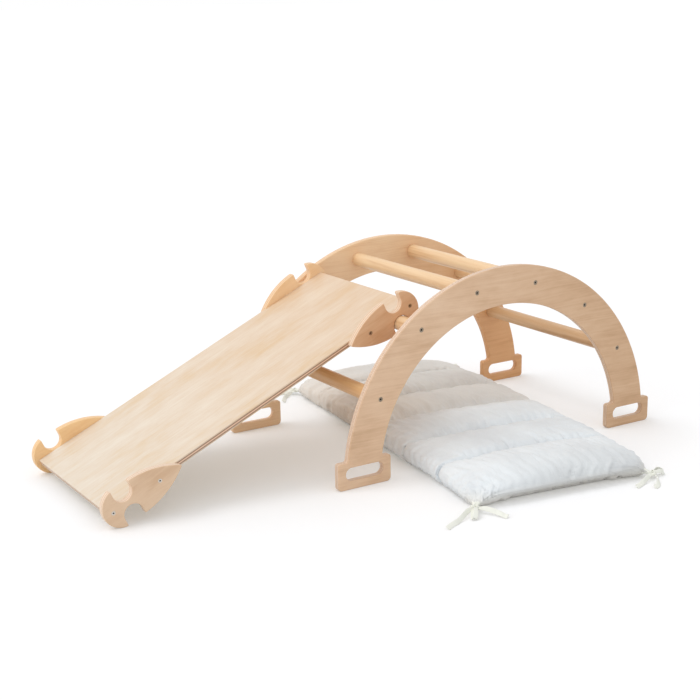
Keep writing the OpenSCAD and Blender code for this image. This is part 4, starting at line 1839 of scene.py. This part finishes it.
    def puckers(self, u: Array, v: Array) -> Array:
        """The height of the fine folds over the filled cover.

        Each group of folds is an uneven wave along its seam, times a fall with the
        distance d from that seam, exp(-d / reach): across the channels' seams, down the
        end walls, down the side walls, and in a fan about each corner. A shallow
        groove, exp(-(d / width)^2), lies in each channel seam and ends before its sides.

        Args:
            u: the place along the mat.
            v: the place across the mat.

        Returns:
            The heights.
        """
        along, across = u * self.length / 2, v * self.width / 2
        turns = (u + 1) / 2 * self.channels
        number = np.rint(turns)
        off_seam = (turns - number) * self.length / self.channels
        inner = (number > 0) & (number < self.channels)
        from_end, from_side = self.gaps(u, v)
        end, side = np.sign(u), np.sign(v)
        gathered = creased(self.gathers.waves(across + 0.35 * off_seam + 0.731 * number))
        height = self.gathers.fall(np.abs(off_seam)) * gathered * inner
        sway = self.end_sway.raised(from_end)
        pleated = 0.6 + self.end_pleats.raised(across + end)
        folded = creased(self.end_folds.waves(across + sway + end))
        height += self.end_folds.fall(from_end) * folded * pleated
        height += self.side_folds.fall(from_side) * self.side_folds.waves(along + side)
        height += self.crumples.raised(across + 0.3 * along) * self.crumpling.waves(along)
        height += self.swells.raised(along - 0.2 * across)
        away = np.hypot(from_end, from_side)
        about = np.arctan2(from_end, from_side) * self.fan_radius + end + 2.3 * side
        fanned = self.fans.fall(away) * (1 - np.exp(-away / self.fan_start))
        height += fanned * creased(self.fans.waves(about))
        groove = np.exp(-((off_seam / self.groove_width) ** 2)) * inner
        return height - self.groove_depth * groove * np.clip(from_side / self.groove_end, 0, 1)

    def stitches(self, upper: Array) -> None:
        """Sews a row of stitches along each channel seam, on the filled cover.

        A stitch is a short spindle whose radius falls as the square root of one minus
        the fourth power of the place along it, from -1 to 1.

        Args:
            upper: the cover's upper points in the mat's own axes: across, along, height.
        """
        share = np.linspace(-1, 1, 5)
        radius = self.stitch_radius * np.sqrt(np.clip(1 - share**4, 0.04, None))
        angle = circle(self.stitch_sides)
        ring = np.column_stack([np.zeros_like(angle), np.cos(angle), np.sin(angle)])
        skins = []
        for row in np.arange(1, self.channels) * 2 * self.channel_cells:
            line = upper[row]
            run = distances(line)
            starts = np.arange(self.stitch_margin, run[-1] - self.stitch_margin, self.stitch_pitch)
            where = starts[:, None] + self.stitch_pitch * (0.5 + 0.36 * share[None, :])
            spine = np.stack([np.interp(where, run, line[:, axis]) for axis in range(3)], axis=-1)
            spine[..., 2] += self.stitch_rise * (1 - share**2)
            own = spine[:, :, None, :] + radius[None, :, None, None] * ring[None, None, :, :]
            placed = self.placed(own[..., 1], own[..., 0], own[..., 2])
            skins += [tube(stitch[::-1]) for stitch in placed]
        sewn = piece("mat_stitches", joined(skins), THREAD_FINISH.material(), Body.MAT)


# ---------- The ties ----------


def smooth_route(points: Array, steps: int) -> Array:
    """A smooth curve through points.

    Between two points it is the cubic that leaves and reaches them along the chords of
    their neighbours.

    Args:
        points: the points that it goes through.
        steps: how many steps lie between two points.

    Returns:
        The points of the curve.
    """
    padded = np.concatenate([[2 * points[0] - points[1]], points, [2 * points[-1] - points[-2]]])
    p0, p1, p2, p3 = (padded[i : len(padded) - 3 + i][:, None] for i in range(4))
    t = (np.arange(steps) / steps)[None, :, None]
    curve = 2 * p1 + (p2 - p0) * t
    curve = curve + (2 * p0 - 5 * p1 + 4 * p2 - p3) * t**2
    curve = curve + (3 * p1 - p0 - 3 * p2 + p3) * t**3
    return np.concatenate([0.5 * curve.reshape(-1, 3), points[-1:]])


def tape(
    path: Array,
    width: Array,
    thickness: float | Array,
    roll: Array,
    across: Array | None = None,
    sides: int = 20,
) -> Surface:
    """A woven tape carried along a path.

    Its section is a flat oval with blunt edges, whose points at an angle stand at the
    square root of the cosine and sine, with their signs. Its width lies level, turned
    about the path by the roll.

    Args:
        path: the tape's middle line.
        width: the tape's width at each point.
        thickness: of the tape, or at each point.
        roll: how far its width is turned up at each point, in radians.
        across: the way of its width before the roll, where it isn't simply level.
        sides: how many points its section has.

    Returns:
        The closed skin.
    """
    tangent = np.gradient(path, axis=0)
    tangent /= np.linalg.norm(tangent, axis=1, keepdims=True)
    level = np.cross(UP_WAY, tangent) if across is None else np.tile(across, (len(path), 1))
    level -= (level * tangent).sum(axis=1, keepdims=True) * tangent
    level /= np.maximum(np.linalg.norm(level, axis=1, keepdims=True), 1e-9)
    rise = np.cross(tangent, level)
    wide = level * np.cos(roll)[:, None] + rise * np.sin(roll)[:, None]
    thin = rise * np.cos(roll)[:, None] - level * np.sin(roll)[:, None]
    angle = 2 * math.pi * (np.arange(sides) + 0.5) / sides
    blunt_x, blunt_y = (np.sign(part) * np.abs(part) ** 0.5 for part in (np.cos(angle), np.sin(angle)))
    side = width[:, None, None] / 2 * blunt_x[None, :, None] * wide[:, None, :]
    half_thick = np.broadcast_to(np.asarray(thickness) / 2, width.shape)[:, None, None]
    lift = half_thick * blunt_y[None, :, None] * thin[:, None, :]
    rings = path[:, None, :] + side + lift
    pattern = np.zeros_like(rings)
    pattern[..., 0] = distances(path)[:, None]
    pattern[..., 1] = width[:, None] / 2 * blunt_x[None, :]
    return tube(rings, pattern)


@dataclass
class Tie:
    """The tie at one corner of the mat: a knot with a bow's loop, and two tails.

    The routes are measured from the middle of the knot, with their heights from the
    floor, the loop's direction in degrees from +X, and its roll in radians: a small one
    lays the loop flat and a large one stands it on its edge.
    """

    mat: Mat
    side: Side
    hand: Hand
    loop_angle: float
    loop_roll: float
    long_route: Sequence[Point]
    short_route: Sequence[Point]
    long_length: float
    short_length: float
    width: float = 12.4 * MM
    thickness: float = 1.8 * MM
    standing: float = 0.95
    gathered: float = 0.62
    opening: float = 0.25
    knot_height: float = 12 * MM
    knot_size: float = 3.3 * MM
    knot_width: float = 6.5 * MM
    knot_thickness: float = 3.0 * MM
    knot_steps: int = 120
    loop_reach: float = 52 * MM
    loop_steps: int = 60
    material: Material = field(init=False)

    @property
    def name(self) -> str:
        """The tie's name, as its nodes begin."""
        return f"{self.side.word}_{self.hand.word}_tie"

    @property
    def middle(self) -> Array:
        """The floor point under the knot, off the mat's corner by the tie's gap both ways."""
        mat = self.mat
        along = self.side.value * (mat.length / 2 - mat.corner_draw + mat.tie_gap)
        across = self.hand.value * (mat.width / 2 - mat.pinch + mat.tie_gap)
        return mat.placed(np.array(along), np.array(across), np.array(0.0))

    def tail(self, word: str, route: Sequence[Point]) -> None:
        """The tape is turned about its path by the roll r, so its middle stands at least
        half its width times sin r over the floor. It stands up most at two fifths of
        its length. It is gathered at the knot and opens to its width on its way.

        Args:
            word: which of the two tails it is.
            route: its middle line, in millimetres.
        """
        path = smooth_route(np.array(route) * MM, 10)
        run = np.linspace(0, 1, len(path))
        width = self.width * (self.gathered + (1 - self.gathered) * eased(run / self.opening))
        roll = self.standing * (0.55 + 0.45 * np.sin(math.pi * np.clip(1.25 * run, 0, 1)))
        resting = width / 2 * np.sin(roll) + self.thickness * np.cos(roll) / 2 + 0.3 * MM
        path[:, 2] = np.maximum(path[:, 2], resting)
        side = np.cross(UP_WAY, path[-1] - path[0])
        faced = roll * (1 if side @ VIEW_WAY > 0 else -1)
        path = path + self.middle
        skin = tape(path, width, self.thickness, faced)
        made = piece(f"{self.name}_{word}_tail_woven", skin, self.material, Body.MAT)
        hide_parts(f"{self.name}_{word}_tail")
        logger.info("%s %s tail measures %.4f m", self.name, word, distances(path)[-1])

    def build(self, material: Material) -> None:
        """Builds the knot and its two tails.

        Args:
            material: the tape's finish.
        """
        self.material = material
        knot = self.knot()
        self.tail("long", self.long_route)
        self.tail("short", self.short_route)

    def knot(self) -> Object:
        """Builds the knot with its loop and the neck that holds it.

        Returns:
            The new piece.
        """
        middle = self.middle + self.knot_height * UP_WAY
        skin = joined([self.wound(middle), self.bow(), self.neck(middle)])
        made = piece(f"{self.name}_knot_tied", skin, self.material, Body.MAT)
        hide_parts(f"{self.name}_knot")
        return made

    def wound(self, middle: Array) -> Surface:
        """The knot itself, a trefoil of tape about its middle.

        The trefoil is ((2 + cos 3t) cos 2t, (2 + cos 3t) sin 2t, 0.9 sin 3t).

        Args:
            middle: of the knot.

        Returns:
            The tape's skin.
        """
        turn = 2 * math.pi * np.arange(self.knot_steps + 1) / self.knot_steps
        ring = 2 + np.cos(3 * turn)
        trefoil = np.column_stack([ring * np.cos(2 * turn), ring * np.sin(2 * turn), 0.9 * np.sin(3 * turn)])
        width = np.full(len(turn), self.knot_width)
        roll = 0.9 + 0.5 * np.sin(3 * turn)
        return tape(trefoil * self.knot_size + middle, width, self.knot_thickness, roll)

    def bow(self) -> Surface:
        """The bow's loop, out from the knot and back.

        At an angle s from -pi to pi the tape is (1 + cos s) / 2 of the way to the loop's
        far end, and sin(s) |cos(s / 2)|^0.7 of the way to its side. It rises half way
        out, sinks towards the floor at its far end, and widens from 8 to 13 mm.

        Returns:
            The tape's skin.
        """
        angle = math.radians(self.loop_angle)
        ahead = np.array([math.cos(angle), math.sin(angle), 0.0])
        aside = np.array([-math.sin(angle), math.cos(angle), 0.0])
        swing = np.linspace(-math.pi, math.pi, self.loop_steps + 1)
        out = (1 + np.cos(swing)) / 2
        spread = np.sin(swing) * np.abs(np.cos(swing / 2)) ** 0.7
        width = (8 + 5 * out) * MM
        sine, cosine = math.sin(self.loop_roll), math.cos(self.loop_roll)
        lift = self.knot_height * (1 - out**2) + 5 * MM * np.sin(math.pi * out) + 6 * MM * out**2
        lift = np.maximum(lift + 4 * MM * cosine * spread, width / 2 * sine + 1.2 * MM)
        reach = 3 * MM + 0.96 * self.loop_reach * out
        apart = (3 + 7 * sine * sine) * MM * spread
        loop = reach[:, None] * ahead + apart[:, None] * aside + lift[:, None] * UP_WAY
        return tape(loop + self.middle, width, self.thickness, np.full(len(out), self.loop_roll), aside)

    def neck(self, middle: Array) -> Surface:
        """The gathered cloth between the mat's corner and the knot.

        It narrows from 30 to 6 mm, and from 14 to 3 mm in thickness.

        Args:
            middle: of the knot.

        Returns:
            The cloth's skin.
        """
        mat = self.mat
        inward = mat.placed(
            np.array(self.side.value * (mat.length / 2 - 2.4 * mat.corner_draw)),
            np.array(self.hand.value * (mat.width / 2 - 2.4 * mat.pinch)),
            np.array(mat.seam_height - mat.corner_dip + 1 * MM),
        )
        halfway = (inward + middle) / 2 + 1 * MM * UP_WAY
        path = smooth_route(np.array([inward, halfway, middle]), 8)
        open_share = (1 - np.linspace(0, 1, len(path))) ** 0.8
        width, thickness = (6 + 24 * open_share) * MM, (3 + 11 * open_share) * MM
        return tape(path, width, thickness, np.zeros(len(path)))


def ties(mat: Mat) -> list[Tie]:
    """The four ties of the mat, with their routes in millimetres from the knot.

    Args:
        mat: the mat whose corners they hang on.

    Returns:
        The ties.
    """
    return [
        Tie(
            mat, Side.NEAR, Hand.LEFT, 232, 0.35,
            [(-8, -4, 12), (-26, -12, 14), (-50, -24, 10), (-74, -35, 4), (-96, -42, 1.8), (-114, -52, 1.8)],
            [(4, -9, 12), (13, -24, 13), (22, -41, 11), (31, -58, 7), (38, -73, 1.8)],
            0.118, 0.0745,
        ),
        Tie(
            mat, Side.NEAR, Hand.RIGHT, 4, 1.05,
            [(-8, -5, 12), (-24, -13, 12), (-43, -21, 9), (-62, -27, 4), (-81, -34, 1.8)],
            [(-2, -9, 12), (-8, -24, 12), (-17, -39, 9), (-30, -52, 4), (-47, -60, 1.8)],
            0.0795, 0.0745, loop_reach=38 * MM,
        ),
        Tie(
            mat, Side.FAR, Hand.LEFT, 120, 0.6,
            [(-9, -3, 12), (-26, -12, 7), (-44, -26, 2), (-58, -42, 1.8), (-70, -60, 1.8)],
            [(-9, 4, 12), (-24, 12, 7), (-42, 16, 2), (-62, 14, 1.8), (-80, 8, 1.8)],
            0.086, 0.0756,
        ),
        Tie(
            mat, Side.FAR, Hand.RIGHT, 320, 0.8,
            [(8, 5, 12), (24, 14, 7), (44, 24, 2), (66, 30, 1.8), (88, 34, 1.8)],
            [(4, 9, 12), (12, 24, 7), (18, 42, 2), (22, 60, 1.8), (28, 78, 1.8)],
            0.087, 0.0745,
        ),
    ]


# ---------- The studio ----------


@dataclass(frozen=True)
class Lamp:
    """A broad, slightly warm lamp, far away, whose light comes from a direction."""

    name: str
    strength: float
    comes_from: Point
    spread: float
    colour: Colour = (1.0, 0.985, 0.965)

    def hang(self) -> None:
        """Puts the lamp in the scene."""
        lamp = bpy.data.lights.new(self.name, "SUN")
        lamp.energy = self.strength
        lamp.angle = math.radians(self.spread)
        lamp.color = self.colour
        hung = put(self.name, lamp)
        hung.rotation_mode = "QUATERNION"
        hung.rotation_quaternion = Vector(self.comes_from).to_track_quat("Z", "Y")


@dataclass
class Studio:
    """The camera at the picture's viewpoint, soft light and a plain pale floor."""

    middle: Array
    camera_place: Point = (-2.09031, -2.87776, 1.15065)
    yaw: float = 32.0732
    pitch: float = 14.7304
    roll: float = -0.8976
    focal_length: float = 70.112
    sensor_width: float = 36.0
    sight: float = 400.0
    floor_share: Colour = (0.80, 0.81, 0.85)
    floor_glow: Colour = (0.205, 0.20, 0.175)
    floor_reach: float = 120.0
    floor_plain: Colour = (0.8, 0.8, 0.8)
    sky: float = 0.82
    sun: Lamp = Lamp("soft_lamp", 0.64, (-0.44, 0.24, 0.86), 30.0)
    fill: Lamp = Lamp("fill_lamp", 0.56, (-0.98, -0.04, 0.20), 60.0)

    def camera(self) -> None:
        """Sets the camera: forward from yaw and pitch, then rolled about that line."""
        yaw, pitch, roll = (math.radians(x) for x in (self.yaw, self.pitch, self.roll))
        ahead = math.cos(pitch)
        forward = Vector((math.sin(yaw) * ahead, math.cos(yaw) * ahead, -math.sin(pitch)))
        level = Vector((math.cos(yaw), -math.sin(yaw), 0.0))
        up = level.cross(forward)
        right = level * math.cos(roll) + up * math.sin(roll)
        top = up * math.cos(roll) - level * math.sin(roll)
        data = bpy.data.cameras.new("picture_camera")
        data.lens = self.focal_length
        data.sensor_width = self.sensor_width
        data.clip_end = self.sight
        camera = put("picture_camera", data)
        turn = Matrix((right, top, -forward)).transposed().to_4x4()
        camera.matrix_world = Matrix.Translation(Vector(self.camera_place) + Vector(self.middle)) @ turn
        bpy.context.scene.camera = camera

    def light(self) -> None:
        """Lights the set with an even sky, white to direct rays, and two broad lamps."""
        world = bpy.data.worlds.new("studio_sky")
        tree = NodeTree(world)
        strength = tree.ranged(tree.direct_rays(), 0.0, 1.0, self.sky, 1.0)
        background = tree.add("ShaderNodeBackground", {"Color": (*WHITE, 1.0), "Strength": strength})
        tree.add("ShaderNodeOutputWorld", {"Surface": background.outputs[0]})
        bpy.context.scene.world = world
        self.sun.hang()
        self.fill.hang()

    def floor(self) -> None:
        """Lays a wide floor, white where the camera or a gloss sees it in the open.

        To those rays it is a diffuse share plus a glow, which together are white in the
        open and leave the object's shadow soft. To all other rays it is plain and pale.
        """
        corners = self.floor_reach * np.array([[-1, -1, 0], [1, -1, 0], [1, 1, 0], [-1, 1, 0]])
        mesh = bpy.data.meshes.new("studio_floor")
        mesh.from_pydata(corners.tolist(), [], [(0, 1, 2, 3)])
        tree = NodeTree(bpy.data.materials.new("studio_floor"))
        shown = tree.add("ShaderNodeBsdfDiffuse", {"Color": (*self.floor_share, 1.0)})
        glow = tree.add("ShaderNodeEmission", {"Color": (*self.floor_glow, 1.0), "Strength": 1.0})
        both = tree.add("ShaderNodeAddShader", {0: shown.outputs[0], 1: glow.outputs[0]})
        plain = tree.add("ShaderNodeBsdfDiffuse", {"Color": (*self.floor_plain, 1.0)})
        inputs = {0: tree.direct_rays(), 1: plain.outputs[0], 2: both.outputs[0]}
        mesh.materials.append(tree.surface(tree.add("ShaderNodeMixShader", inputs)))
        laid = put("studio_floor", mesh)

    def build(self) -> None:
        """Lights the set, lays the floor and sets the picture's view."""
        self.light()
        self.floor()
        bpy.context.scene.view_settings.view_transform = "Standard"


def main() -> None:
    """Builds the studio and every piece in order."""
    logging.basicConfig(level=logging.INFO, format="%(message)s")
    arch = Arch()
    studio = Studio(arch.middle)
    studio.camera()
    mat = Mat(arch)
    tie_material = TIE_FINISH.material()
    for tie in ties(mat):
        tie.build(tie_material)
    arch.build()
    Ramp().build()
    mat.build()
    studio.build()


if __name__ == "__main__":
    main()
